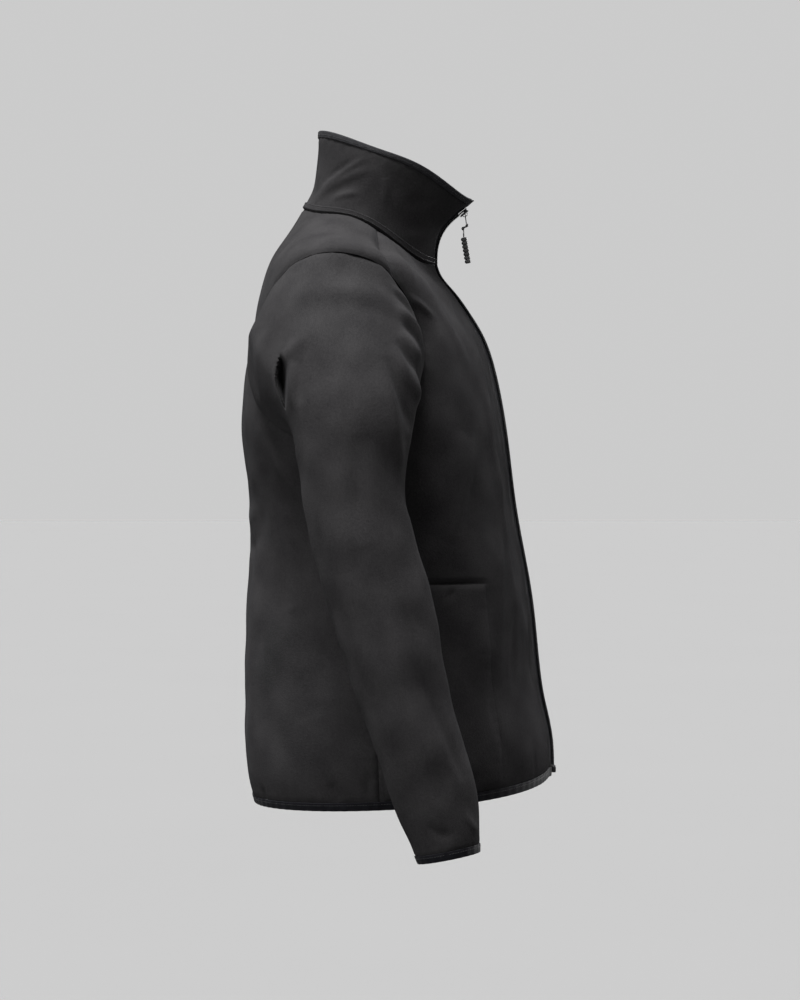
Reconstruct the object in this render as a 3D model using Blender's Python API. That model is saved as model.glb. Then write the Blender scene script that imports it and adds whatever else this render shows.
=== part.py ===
"""A zipped fleece jacket in its worn shape, with no wearer inside.

The front faces -Y, the wearer's right side is -X and +Z is up. The origin is the middle of the
neck opening, where the wearer's neck and shoulders hold the jacket. Tables and lengths are in
millimetres, and each mesh is scaled to metres as it is made.

Every cloth piece is a pattern piece. It is outlined in the garment's own coordinates, which are
a turn round the body in degrees (0 front, 90 right side, 180 back) and a height up the cloth in
millimetres, and then laid on the torso, the collar or a sleeve.
"""

import math

import bmesh
import bpy
import numpy as np
from mathutils import Matrix, Vector, geometry

MM = 0.001

# Cloth and seams
WALL = 2.0
SEAM_GAP = 0.3
BINDING_WIDTH = 8.5
COLLAR_BINDING_WIDTH = 6.0
BINDING_PROUD = 0.7
NECK_TAPE_WALL = 1.4

# Zip, which stands forward on a soft ridge
ZIP_EDGE = 12.0
RIDGE_ROUND = 8.0
RIDGE_FADE = 8.0
TAPE_WALL = 1.0
TAPE_DEPTH = 3.7
TAPE_OUTER = 19.0
TAPE_INNER = 1.8
CHAIN_WIDTH = 6.0
CHAIN_WALL = 2.7
CHAIN_PROUD = -0.5
ZIP_ENDS_IN = 2.0
BOX_LONG = 9.0

# Slider and its pull
SLIDER_UP = 72.0
SLIDER_SIZE = (9.0, 12.0, 4.6)
SLIDER_TOP = 1.7
BRIDGE_WIDE = 2.4
BRIDGE_HOLE = (4.8, 2.2)
BRIDGE_WALL = 0.9
LOOP_WIRE = 0.55
GRIP_WIDE = 7.6
GRIP_DEEP = 5.6
GRIP_ROWS = 7
GRIP_SIDES = 10

# Pocket on each front, in turns and heights
POCKET_FRONT = 52.0
POCKET_TOP = 255.0
POCKET_BACK = 84.0
POCKET_WALL = 1.6

# How finely the solids are cut
PANEL_STEP = 27.0
ZIP_STEP = 26.0
SLEEVE_STEP = 34.0
COLLAR_ROWS = (8.0, 18.0, 32.0, 46.0, 60.0, 73.0)
NECK_COLUMNS = (6, 9)
HEM_COLUMNS = (12, 11)
TORSO_MM_PER_DEGREE = 3.3
SLEEVE_MM_PER_DEGREE = 1.0
COLLAR_MM_PER_DEGREE = 1.5

# Colours are linear: base colour, roughness, metallic
FINISHES = {
    "fleece": ((0.040, 0.038, 0.038), 0.85, 0.0),
    "binding": ((0.012, 0.012, 0.015), 0.7, 0.0),
    "zip_tape": ((0.008, 0.008, 0.009), 0.8, 0.0),
    "zip_teeth": ((0.010, 0.010, 0.011), 0.45, 0.0),
    "zip_metal": ((0.015, 0.015, 0.016), 0.35, 0.8),
    "pull_rubber": ((0.009, 0.009, 0.010), 0.5, 0.0),
}


def table(columns, *rows):
    """Rows of numbers under named columns, as one array for each column."""
    return dict(zip(columns.split(), np.array(rows, float).T))


# Rings of the torso from the hem to the neck seam. The z columns are heights at the front
# centre, 45, 90 and 135 degrees, and the back centre. The round columns are the powers of the
# superellipse in front of and behind the side, and keel is how far the zip stands forward.
TORSO = table(
    "up  front_y back_y side_x side_y  z_0  z_45  z_90  z_135 z_180  round_f round_b keel",
    (0, -211, 136, 184, -35, -641, -649, -660, -666, -669, 2.2, 2.4, 9),
    (33, -210, 144, 188, -35, -605, -613, -626, -634, -638, 2.2, 2.4, 9),
    (105, -197, 147, 188, -30, -546, -551, -557, -562, -564, 2.2, 2.4, 11),
    (235, -183, 146, 187, -22, -428, -429, -430, -431, -432, 2.2, 2.4, 11),
    (340, -163.5, 142, 189, -12, -324, -325, -326, -327, -328, 2.2, 2.4, 12),
    (440, -150.5, 149, 193, 0, -223, -226, -236, -226, -223, 2.2, 2.8, 12),
    (512, -135.5, 142, 190, 6, -150, -157, -162, -152, -150, 2.1, 3, 12),
    (565, -122, 134, 198, 14, -114, -118, -92, -100, -97, 1.8, 2.8, 11.5),
    (610, -108, 126, 203, 18, -89, -88, -37, -56, -57, 1.65, 2.3, 10),
    (655, -94, 113, 160, 14, -67, -63, -19, -21, -24, 1.7, 2, 8),
    (695, -80, 96, 117, 8, -49, -45, -4, 3, 4, 1.8, 2, 7),
    (730, -75, 79, 79, 4, -35, -30, 8, 22, 32, 2, 2, 6),
)
NECK_UP = 730.0

# Rings of the collar from the neck seam to its top edge, up the cloth.
COLLAR = table(
    "up front_y back_y side_x side_y  z_0 z_45 z_90 z_135 z_180  round_f round_b keel",
    (0, -75, 79, 79, 4, -35, -30, 8, 22, 32, 2, 2, 6),
    (20, -75, 70, 76, 2, -15, -5, 27, 41, 50, 2, 2, 7),
    (46, -83, 64, 74, -6, 9, 21, 51, 66, 76, 1.95, 2, 9),
    (70, -101, 62, 73, -16, 26, 43, 72, 90, 100, 1.85, 2, 9),
    (92, -119.5, 61, 72, -26, 41, 65, 89.5, 111.5, 124, 1.75, 2, 9),
)
COLLAR_UP = 92.0

# The armhole of the right side, a closed curve through points at every 45 degrees of the
# sleeve's own turn: 0 is the shoulder, 90 the front, 180 the armpit and 270 the back.
ARMHOLE = table(
    "turn up",
    (92, 606),
    (74, 590),
    (67, 532),
    (79, 462),
    (99, 433),
    (120, 436),
    (134, 503),
    (120, 585),
)
SLEEVE_COLUMN = 15.0
SHOULDER_SEAM_AT = 45.0
NECK_SEAM_TURN = 80.0
SIDE_SEAM_TURN = 97.0

# Sections of the right sleeve below the armpit, along the arm.
SLEEVE = table(
    "along x    y    z   half_out half_fore",
    (150, -256, 16, -252, 59, 62),
    (212, -268, 12, -314, 55, 54),
    (320, -284, -14, -421, 52, 56),
    (430, -299, -41, -528, 46, 48),
    (542, -307, -74, -635, 41, 44),
    (590, -309, -85, -681, 37, 36.5),
    (606, -310, -88, -696, 35, 33.5),
)
CAP_ALONG = 150.0
CUFF_ALONG = 606.0

# How steeply the sleeve leaves the armhole, in degrees from the torso's surface, and how far
# that direction carries, as a share of the way to the first section. One row every 45 degrees.
CAP = table(
    "lift carry",
    (14, 1.0),
    (28, 0.9),
    (55, 0.8),
    (85, 0.7),
    (112, 0.9),
    (92, 0.75),
    (70, 0.9),
    (34, 0.9),
)

# Soft ridges and troughs, each on a curve through three places. Height is outwards.
TORSO_FOLDS = table(
    "turn_a up_a turn_b up_b turn_c up_c height width",
    (30, 455, 31, 330, 33, 190, 4.0, 12),
    (52, 430, 60, 370, 68, 300, 4.0, 18),
    (135, 440, 118, 370, 105, 290, 5.0, 15),
    (150, 380, 136, 280, 120, 160, -5.0, 22),
)
SLEEVE_FOLDS = table(
    "turn_a up_a turn_b up_b turn_c up_c height width",
    (70, 60, 80, 110, 78, 170, 4.0, 9),
    (62, 150, 70, 300, 78, 480, 2.5, 10),
)
COLLAR_FOLDS = table(
    "turn_a up_a turn_b up_b turn_c up_c height width",
    (150, 12, 125, 38, 98, 62, 2.5, 7),
)

# The pull's cord below the slider: places from the hinge, and how thick it is there.
CORD = table(
    "y z radius",
    (-1.3, -11.0, 1.1),
    (-1.9, -11.9, 2.0),
    (-1.2, -13.6, 1.3),
    (1.6, -15.0, 1.3),
    (2.7, -16.2, 2.0),
    (2.2, -18.2, 0.9),
    (1.9, -21.5, 0.8),
    (1.9, -26.3, 0.8),
)
GRIP_ENDS = ((1.9, -26.8), (-3.4, -57.6))


def spline(knots, values, at):
    """The natural cubic spline through values at knots, read at other places."""
    count = len(knots)
    gap = np.diff(knots)
    system = np.eye(count)
    target = np.zeros(count)
    slope = np.diff(values) / gap
    for i in range(1, count - 1):
        system[i, i - 1 : i + 2] = gap[i - 1], 2 * (gap[i - 1] + gap[i]), gap[i]
        target[i] = 6 * (slope[i] - slope[i - 1])
    bend = np.linalg.solve(system, target)
    at = np.clip(at, knots[0], knots[-1])
    i = np.clip(np.searchsorted(knots, at) - 1, 0, count - 2)
    after = (at - knots[i]) / gap[i]
    before = 1 - after
    cubic = (before**3 - before) * bend[i] + (after**3 - after) * bend[i + 1]
    return before * values[i] + after * values[i + 1] + cubic * gap[i] ** 2 / 6


def around_half(values, turn):
    """A smooth even curve through five values, at 0, 45, 90, 135 and 180 degrees."""
    steps = np.arange(5)
    basis = np.cos(np.outer(steps, steps) * math.pi / 4)
    waves = np.linalg.solve(basis, np.array(values))
    return sum(waves[k] * np.cos(k * np.radians(turn)) for k in steps)


def around_whole(values, turn):
    """A smooth closed curve through eight values, one every 45 degrees."""
    places = np.radians(np.arange(8) * 45)
    total = np.mean(values) + np.zeros_like(turn)
    for k in (1, 2, 3, 4):
        share = 8 if k == 4 else 4
        total = total + values @ np.cos(k * places) / share * np.cos(k * np.radians(turn))
        total = total + values @ np.sin(k * places) / share * np.sin(k * np.radians(turn))
    return total


def unit(vectors):
    return vectors / np.maximum(np.linalg.norm(vectors, axis=-1, keepdims=True), 1e-9)


def ring_point(rings, turn, up):
    """A point on the rings' smooth surface."""
    row = {name: spline(rings["up"], rings[name], up) for name in rings if name != "up"}
    cos, sin = np.cos(np.radians(turn)), np.sin(np.radians(turn))
    depth = np.where(cos > 0, row["side_y"] - row["front_y"], row["back_y"] - row["side_y"])
    power = np.where(cos > 0, row["round_f"], row["round_b"])
    reach = (np.abs(cos) / depth) ** power + (np.abs(sin) / row["side_x"]) ** power
    reach = reach ** (-1 / power)
    x = -reach * sin
    ridge = np.exp((RIDGE_ROUND - np.hypot(x, RIDGE_ROUND)) / RIDGE_FADE)
    keel = np.where(cos > 0, row["keel"] * ridge, 0)
    y = row["side_y"] - reach * cos - keel
    z = around_half([row[f"z_{angle}"] for angle in (0, 45, 90, 135, 180)], turn)
    return np.stack([x, y, z], axis=-1)


def normal_of(surface, turn, up, step=2.0):
    """The outward direction of a surface on the right side, from small steps either way."""
    round_it = surface(turn + step, up) - surface(turn - step, up)
    up_it = surface(turn, up + step) - surface(turn, up - step)
    return unit(np.cross(up_it, round_it))


def fold_height(folds, mm_per_degree, turn, up):
    """How far the folds lift or sink the cloth at each place."""
    turn = np.abs((np.asarray(turn) + 180) % 360 - 180) if folds is not SLEEVE_FOLDS else turn
    lift = np.zeros(np.broadcast(turn, up).shape)
    for i in range(len(folds["height"])):
        share = np.linspace(0, 1, 13)
        weights = ((1 - share) * (1 - 2 * share), 4 * share * (1 - share), share * (2 * share - 1))
        line_turn = sum(w * folds[f"turn_{k}"][i] for w, k in zip(weights, "abc"))
        line_up = sum(w * folds[f"up_{k}"][i] for w, k in zip(weights, "abc"))
        nearest = np.full(lift.shape, np.inf)
        along = np.zeros(lift.shape)
        for j in range(len(share) - 1):
            start = np.array([line_turn[j] * mm_per_degree, line_up[j]])
            run = np.array([line_turn[j + 1] * mm_per_degree, line_up[j + 1]]) - start
            to_turn = turn * mm_per_degree - start[0]
            to_up = up - start[1]
            part = np.clip((to_turn * run[0] + to_up * run[1]) / (run @ run), 0, 1)
            far = np.hypot(to_turn - part * run[0], to_up - part * run[1])
            closer = far < nearest
            along = np.where(closer, (j + part) / (len(share) - 1), along)
            nearest = np.where(closer, far, nearest)
        fade = np.sin(math.pi * np.clip(along, 0.02, 0.98)) ** 0.7
        lift = lift + folds["height"][i] * fade * np.exp(-((nearest / folds["width"][i]) ** 2))
    return lift


def folded(form, folds, mm_per_degree, turn, up):
    lift = fold_height(folds, mm_per_degree, turn, up)
    return form(turn, up) + normal_of(form, turn, up) * lift[..., None]


def torso_form(turn, up):
    return ring_point(TORSO, turn, up)


def torso(turn, up):
    return folded(torso_form, TORSO_FOLDS, TORSO_MM_PER_DEGREE, turn, up)


def collar_form(turn, up):
    return ring_point(COLLAR, turn, up)


def collar(turn, up):
    return folded(collar_form, COLLAR_FOLDS, COLLAR_MM_PER_DEGREE, turn, up)


def front_line(turn, up):
    """The torso and, past the neck seam, the collar, for the zip that runs up both."""
    low = torso_form(turn, np.minimum(up, NECK_UP))
    high = collar_form(turn, np.maximum(up - NECK_UP, 0))
    return np.where((np.asarray(up) < NECK_UP)[..., None], low, high)


def armhole_place(turn):
    """The armhole's turn and height on the torso, at a turn of the sleeve."""
    return around_whole(ARMHOLE["turn"], turn), around_whole(ARMHOLE["up"], turn)


def arm_section(turn, along):
    """A point of the sleeve's plain tube, below the armpit."""
    knots = SLEEVE["along"]
    centre = np.stack([spline(knots, SLEEVE[name], along) for name in "xyz"], axis=-1)
    before = np.stack([spline(knots, SLEEVE[name], along - 8) for name in "xyz"], axis=-1)
    after = np.stack([spline(knots, SLEEVE[name], along + 8) for name in "xyz"], axis=-1)
    axis = unit(after - before)
    outward = np.array([-1.0, 0, 0])
    outward = unit(outward - (axis @ outward)[..., None] * axis)
    forward = np.cross(outward, axis)
    angle = np.radians(turn)[..., None]
    half_out = spline(knots, SLEEVE["half_out"], along)[..., None]
    half_fore = spline(knots, SLEEVE["half_fore"], along)[..., None]
    return centre + np.cos(angle) * half_out * outward + np.sin(angle) * half_fore * forward


def sleeve_form(turn, along):
    """The right sleeve: a cap that leaves the armhole and bends into the arm's tube."""
    turn, along = np.broadcast_arrays(np.asarray(turn, float), np.asarray(along, float))
    on_turn, on_up = armhole_place(turn)
    ahead_turn, ahead_up = armhole_place(turn + 1)
    start = torso(on_turn, on_up)
    outward = normal_of(torso_form, on_turn, on_up)
    inward = unit(np.cross(torso(ahead_turn, ahead_up) - start, outward))
    lift = np.radians(around_whole(CAP["lift"], turn))[..., None]
    leave = np.cos(lift) * inward + np.sin(lift) * outward
    first = arm_section(turn, np.full(turn.shape, CAP_ALONG))
    arrive = unit(arm_section(turn, np.full(turn.shape, CAP_ALONG + 10)) - first)
    chord = np.linalg.norm(first - start, axis=-1, keepdims=True)
    carry = around_whole(CAP["carry"], turn)[..., None]
    q = np.clip(along / CAP_ALONG, 0, 1)[..., None]
    cap = (
        (2 * q**3 - 3 * q**2 + 1) * start
        + (q**3 - 2 * q**2 + q) * leave * chord * carry
        + (3 * q**2 - 2 * q**3) * first
        + (q**3 - q**2) * arrive * chord
    )
    tube = arm_section(turn, np.maximum(along, CAP_ALONG))
    return np.where((along < CAP_ALONG)[..., None], cap, tube)


def sleeve(turn, along):
    return folded(sleeve_form, SLEEVE_FOLDS, SLEEVE_MM_PER_DEGREE, turn, along)


def mirrored(surface):
    """The same surface on the wearer's left."""
    return lambda turn, up: surface(turn, up) * np.array([-1.0, 1, 1])


def zip_turn(rings, offset, up):
    """The turn at which the cloth is that far to the side of the front centre."""
    front = spline(rings["up"], rings["front_y"], up)
    side = spline(rings["up"], rings["side_y"], up)
    return np.degrees(np.arcsin(offset / (side - front)))


def finish(name):
    """One material for each finish, shared by the pieces that have it."""
    if name in bpy.data.materials:
        return bpy.data.materials[name]
    colour, roughness, metallic = FINISHES[name]
    material = bpy.data.materials.new(name)
    material.use_nodes = True
    shader = material.node_tree.nodes["Principled BSDF"]
    shader.inputs["Base Color"].default_value = (*colour, 1)
    shader.inputs["Roughness"].default_value = roughness
    shader.inputs["Metallic"].default_value = metallic
    return material


def place(name, mesh_or_curve, look):
    """A named object in the jacket's collection."""
    mesh_or_curve.materials.append(finish(look))
    piece = bpy.data.objects.new(name, mesh_or_curve)
    bpy.data.collections["fleece_jacket"].objects.link(piece)
    return piece


def solid(name, points, faces, look):
    """A closed body from points in millimetres, with its faces turned outwards."""
    bm = bmesh.new()
    corners = [bm.verts.new(Vector(p) * MM) for p in points]
    for face in faces:
        bm.faces.new([corners[i] for i in face])
    bmesh.ops.recalc_face_normals(bm, faces=bm.faces)
    mesh = bpy.data.meshes.new(name)
    bm.to_mesh(mesh)
    bm.free()
    mesh.shade_smooth()
    mesh.set_sharp_from_angle(angle=math.radians(40))
    return place(name, mesh, look)


def border(faces):
    """The edges that only one face has, in that face's direction."""
    seen = {}
    for face in faces:
        for a, b in zip(face, (*face[1:], face[0])):
            seen[(a, b)] = True
    return [edge for edge in seen if edge[::-1] not in seen]


def shell(name, surface, places, faces, look, lift=0.0, wall=WALL):
    """A wall of cloth on a surface: its outer face is lifted off it, and its wall goes inwards."""
    turn, up = np.array(places, float).T
    base, out = surface(turn, up), normal_of(surface, turn, up)
    if surface(np.array([90.0]), np.array([300.0]))[0][0] > 0:
        out = -out
    count = len(turn)
    points = np.concatenate([base + out * lift, base + out * (lift - wall)])
    inner = [tuple(i + count for i in reversed(face)) for face in faces]
    rim = [(b, a, a + count, b + count) for a, b in border(faces)]
    return solid(name, points, [*faces, *inner, *rim], look)


def strip(turns, ups, closed=False):
    """Places and faces of a grid: one row of places for each height."""
    places = [(turn, up) for row, up in zip(turns, ups) for turn in row]
    across = len(turns[0])
    last = across if closed else across - 1
    faces = []
    for i in range(len(ups) - 1):
        for j in range(last):
            k = (j + 1) % across
            faces.append((i * across + j, i * across + k, (i + 1) * across + k, (i + 1) * across + j))
    return places, faces


def resampled(line, step, scale):
    """A line of turns and heights again, with its places evenly spaced."""
    line = np.array(line, float)
    flat = line * (scale, 1)
    along = np.concatenate([[0], np.cumsum(np.linalg.norm(np.diff(flat, axis=0), axis=1))])
    count = max(1, round(along[-1] / step))
    at = np.linspace(0, along[-1], count + 1)
    return np.stack([np.interp(at, along, line[:, k]) for k in (0, 1)], axis=1)


def trimmed(surface, outline, gap):
    """A closed outline drawn in by a small real distance along the cloth."""
    turn, up = outline.T
    step = 0.5
    by_turn = (surface(turn + step, up) - surface(turn - step, up)) / (2 * step)
    by_up = (surface(turn, up + step) - surface(turn, up - step)) / (2 * step)
    run = np.roll(outline, -1, axis=0) - np.roll(outline, 1, axis=0)
    tangent = unit(by_turn * run[:, :1] + by_up * run[:, 1:])
    after = np.roll(outline, -1, axis=0)
    area = np.sum(outline[:, 0] * after[:, 1] - after[:, 0] * outline[:, 1])
    inward = unit(np.cross(np.cross(by_turn, by_up), tangent)) * np.sign(area)
    moved = []
    for i in range(len(outline)):
        basis = np.stack([by_turn[i], by_up[i]], axis=1)
        moved.append(outline[i] + np.linalg.lstsq(basis, inward[i] * gap, rcond=None)[0])
    return np.array(moved)


def away_from(outline, points):
    """How far each point is inside an outline, and below zero where it is outside."""
    x, y = points.T
    inside = np.zeros(len(points), bool)
    nearest = np.full(len(points), np.inf)
    for (ax, ay), (bx, by) in zip(outline, np.roll(outline, -1, axis=0)):
        crosses = (ay > y) != (by > y)
        inside ^= crosses & (x < (bx - ax) * (y - ay) / (by - ay if by != ay else 1) + ax)
        run = np.array([bx - ax, by - ay])
        part = np.clip(((x - ax) * run[0] + (y - ay) * run[1]) / max(run @ run, 1e-9), 0, 1)
        nearest = np.minimum(nearest, np.hypot(x - ax - part * run[0], y - ay - part * run[1]))
    return np.where(inside, nearest, -nearest)


def within(outline, point):
    """Whether a point is inside a closed outline."""
    return away_from(outline, np.array([point]))[0] > 0


def cut(surface, sides, scale, columns, patch=None):
    """A pattern piece inside its sides: its places and its faces.

    A patch is a second outline that the faces follow, so that a piece sewn on top can be made
    from the same faces.
    """
    outline = trimmed(surface, np.concatenate([side[:-1] for side in sides]), SEAM_GAP / 2)
    flat = outline * (scale, 1)
    low, high = flat[:, 1].min(), flat[:, 1].max()
    rows = np.linspace(low, high, max(2, round((high - low) / PANEL_STEP)) + 1)
    lattice = []
    for i, up in enumerate(rows):
        shift = (i % 2) / 2
        for a, b in zip(columns, columns[1:]):
            lattice.append(((a + (b - a) * shift) * scale, up))
    lattice = np.array(lattice)
    keep = away_from(flat, lattice) > 0.45 * PANEL_STEP
    line = np.zeros((0, 2))
    if patch is not None:
        line = patch * (scale, 1)
        keep &= np.abs(away_from(line, lattice)) > 0.4 * PANEL_STEP
    points = [Vector(p) for p in np.concatenate([flat, line, lattice[keep]])]
    ring = list(range(len(flat)))
    loop = [len(flat) + i for i in range(len(line))]
    edges = list(zip(loop, loop[1:] + loop[:1]))
    made = geometry.delaunay_2d_cdt(points, edges, [ring], 1, 1e-4)
    places = [(p.x / scale, p.y) for p in made[0]]
    return places, [tuple(face) for face in made[2]]


def faces_within(outline, places, faces):
    """The faces whose middles are inside an outline, with only their own places."""
    chosen = [f for f in faces if within(outline, np.mean([places[i] for i in f], axis=0))]
    used = sorted({i for face in chosen for i in face})
    again = {old: new for new, old in enumerate(used)}
    return [places[i] for i in used], [tuple(again[i] for i in face) for face in chosen]


def columns_round(rings, seam_turn, counts, up, offset=ZIP_EDGE):
    """Turns from one zip edge round the back to the other, with a column on each seam."""
    low = zip_turn(rings, offset, up)
    front = np.linspace(low, seam_turn, counts[0])
    back = np.linspace(seam_turn, 180, counts[1])[1:]
    half = np.concatenate([front, back])
    return np.concatenate([half, 360 - half[-2::-1]])


def neck_columns(up):
    return columns_round(COLLAR, NECK_SEAM_TURN, NECK_COLUMNS, up)


def hem_columns(up):
    return columns_round(TORSO, SIDE_SEAM_TURN, HEM_COLUMNS, up)


def level(turns, up):
    """Places along a level line."""
    return np.stack([turns, np.full(len(turns), up)], axis=1)


def armhole_part(start, end):
    """Places on the armhole's curve, one at each of the sleeve's columns."""
    turns = np.linspace(start, end, round(abs(end - start) / SLEEVE_COLUMN) + 1)
    return np.stack(armhole_place(turns), axis=1)


def zip_rows():
    """Heights along the front edge, from the hem's binding up to the neck seam."""
    return np.linspace(BINDING_WIDTH, NECK_UP, round((NECK_UP - BINDING_WIDTH) / ZIP_STEP) + 1)


def zip_side():
    """The front's edge along the zip, from the neck down to the hem's binding."""
    ups = zip_rows()[::-1]
    return np.stack([zip_turn(TORSO, ZIP_EDGE, ups), ups], axis=1)


def shoulder_seam():
    """From the armhole forward of the shoulder up to the neck seam."""
    armhole_turn, armhole_up = armhole_place(np.array([SHOULDER_SEAM_AT]))
    share = np.linspace(0, 1, 12)
    turn = armhole_turn + (NECK_SEAM_TURN - armhole_turn) * share**0.5
    up = armhole_up + (NECK_UP - armhole_up) * share
    return resampled(np.stack([turn, up], axis=1), PANEL_STEP, TORSO_MM_PER_DEGREE)


def side_seam():
    """From the hem's binding up to the armpit."""
    armpit_turn, armpit_up = armhole_place(np.array([180.0]))
    share = np.linspace(0, 1, 20)
    turn = SIDE_SEAM_TURN + (armpit_turn - SIDE_SEAM_TURN) * share**3
    up = BINDING_WIDTH + (armpit_up - BINDING_WIDTH) * share
    return resampled(np.stack([turn, up], axis=1), PANEL_STEP, TORSO_MM_PER_DEGREE)


def pocket_outline():
    """The patch pocket: sewn along its top, front and foot, and open towards the side seam."""
    corners = [
        (POCKET_FRONT, POCKET_TOP),
        (POCKET_FRONT, BINDING_WIDTH + 4),
        (SIDE_SEAM_TURN - 2, BINDING_WIDTH + 4),
        (SIDE_SEAM_TURN - 2, BINDING_WIDTH + 50),
        (POCKET_BACK, POCKET_TOP),
        (POCKET_FRONT, POCKET_TOP),
    ]
    sides = [
        resampled(pair, PANEL_STEP, TORSO_MM_PER_DEGREE)[:-1] for pair in zip(corners, corners[1:])
    ]
    return np.concatenate(sides)


def make_fronts():
    hem = hem_columns(BINDING_WIDTH)[: HEM_COLUMNS[0]]
    neck = neck_columns(0.0)[: NECK_COLUMNS[0]][::-1]
    sides = (
        zip_side(),
        level(hem, BINDING_WIDTH),
        side_seam(),
        armhole_part(180, SHOULDER_SEAM_AT),
        shoulder_seam(),
        level(neck, NECK_UP),
    )
    pocket = pocket_outline()
    columns = [10, 17, 24, 31, 38, 45, 53, 61, 69, 77, 85, 93, 101]
    places, faces = cut(torso, sides, TORSO_MM_PER_DEGREE, columns, pocket)
    patch_places, patch_faces = faces_within(pocket, places, faces)
    lift = SEAM_GAP + POCKET_WALL
    for side, surface in (("right", torso), ("left", mirrored(torso))):
        shell(f"front_{side}", surface, places, faces, "fleece")
        shell(f"pocket_{side}", surface, patch_places, patch_faces, "fleece", lift, POCKET_WALL)


def make_back():
    around_arm = armhole_part(180, 360 + SHOULDER_SEAM_AT)
    right = np.concatenate([side_seam()[:-1], around_arm[:-1], shoulder_seam()])
    left = right[::-1] * (-1, 1) + (360, 0)
    hem = hem_columns(BINDING_WIDTH)[HEM_COLUMNS[0] - 1 : 1 - HEM_COLUMNS[0]][::-1]
    neck = neck_columns(0.0)[NECK_COLUMNS[0] - 1 : 1 - NECK_COLUMNS[0]]
    sides = (right, level(neck, NECK_UP), left, level(hem, BINDING_WIDTH))
    places, faces = cut(torso, sides, TORSO_MM_PER_DEGREE, range(60, 301, 9))
    shell("back", torso, places, faces, "fleece")


def make_sleeves():
    turns = np.arange(0, 360, SLEEVE_COLUMN)
    start = np.full(len(turns), 0.0)
    reach = np.linalg.norm(sleeve_form(turns, start + 1) - sleeve_form(turns, start), axis=-1)
    end = CUFF_ALONG - BINDING_WIDTH
    steps = round((end - CAP_ALONG) / SLEEVE_STEP)
    alongs = [SEAM_GAP / 2 / reach]
    alongs += [start + share * CAP_ALONG for share in (0.15, 0.32, 0.49, 0.66, 0.83)]
    alongs += [start + a for a in np.linspace(CAP_ALONG, end - SEAM_GAP, steps + 1)]
    places = [(turn, a) for row in alongs for turn, a in zip(turns, row)]
    faces = strip([turns] * len(alongs), range(len(alongs)), closed=True)[1]
    cuff = [turns] * 3
    cuff_places, cuff_faces = strip(cuff, (end, CUFF_ALONG - BINDING_WIDTH / 2, CUFF_ALONG), True)
    wall = WALL + 2 * BINDING_PROUD
    for side, surface in (("right", sleeve), ("left", mirrored(sleeve))):
        shell(f"sleeve_{side}", surface, places, faces, "fleece")
        name = f"cuff_binding_{side}"
        shell(name, surface, cuff_places, cuff_faces, "binding", BINDING_PROUD, wall)


def band(name, surface, columns, ups, look, lift=0.0, wall=WALL):
    """A strip of cloth between two heights, with a row at each of them."""
    places, faces = strip([columns(up) for up in ups], ups)
    shell(name, surface, places, faces, look, lift, wall)


def make_collar():
    low, high = SEAM_GAP / 2, COLLAR_UP - COLLAR_BINDING_WIDTH
    ups = (low, 1.0, *COLLAR_ROWS, high - SEAM_GAP)
    band("collar", collar, neck_columns, ups, "fleece")
    lift = SEAM_GAP + NECK_TAPE_WALL
    band("neck_tape", collar, neck_columns, (1.0, COLLAR_ROWS[0]), "fleece", lift, NECK_TAPE_WALL)
    wall = WALL + 2 * BINDING_PROUD
    ups = (high, high + COLLAR_BINDING_WIDTH / 2, COLLAR_UP)
    band("collar_binding", collar, neck_columns, ups, "binding", BINDING_PROUD, wall)


def make_hem():
    ups = (0.0, BINDING_WIDTH / 2, BINDING_WIDTH - SEAM_GAP / 2)
    wall = WALL + 2 * BINDING_PROUD
    band("hem_binding", torso, hem_columns, ups, "binding", BINDING_PROUD, wall)


def front_turn(offset, up):
    """The turn at a distance from the front centre, on the torso or on the collar."""
    if up < NECK_UP:
        return zip_turn(TORSO, offset, up)
    return zip_turn(COLLAR, offset, up - NECK_UP)


def zip_strip(name, surface, offsets, low, high, look, depth, wall):
    """A strip along the zip, its columns at distances from the front centre."""
    collar_rows = (*COLLAR_ROWS, COLLAR_UP - COLLAR_BINDING_WIDTH)
    rows = [*zip_rows(), *(NECK_UP + up for up in collar_rows)]
    ups = [low, *(up for up in rows if low + 1.5 < up < high - 1.5), high]
    places, faces = strip([[front_turn(offset, up) for offset in offsets] for up in ups], ups)
    shell(name, surface, places, faces, look, -depth, wall)


def make_zip():
    top = NECK_UP + COLLAR_UP
    tape = (TAPE_INNER, (TAPE_INNER + TAPE_OUTER) / 2, TAPE_OUTER)
    ends = (ZIP_ENDS_IN, top - ZIP_ENDS_IN)
    zip_strip("zip_tape_right", front_line, tape, *ends, "zip_tape", TAPE_DEPTH, TAPE_WALL)
    left = mirrored(front_line)
    zip_strip("zip_tape_left", left, tape, *ends, "zip_tape", TAPE_DEPTH, TAPE_WALL)
    half = CHAIN_WIDTH / 2
    chain = (-half, 0.0, half)
    low = ZIP_ENDS_IN + BOX_LONG
    high = NECK_UP + SLIDER_UP - SLIDER_SIZE[1] / 2 - SEAM_GAP
    zip_strip("zip_chain", front_line, chain, low, high, "zip_teeth", -CHAIN_PROUD, CHAIN_WALL)


def block(name, size, frame, look, bevel=0.0):
    """A box with softened edges, in millimetres, set in a frame of its own."""
    bm = bmesh.new()
    bmesh.ops.create_cube(bm, size=1, matrix=Matrix.Diagonal((*size, 1)))
    if bevel:
        bmesh.ops.bevel(bm, geom=bm.edges, offset=bevel, segments=1, affect="EDGES")
    bm.transform(Matrix.Scale(MM, 4) @ frame)
    mesh = bpy.data.meshes.new(name)
    bm.to_mesh(mesh)
    bm.free()
    return place(name, mesh, look)


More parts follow.
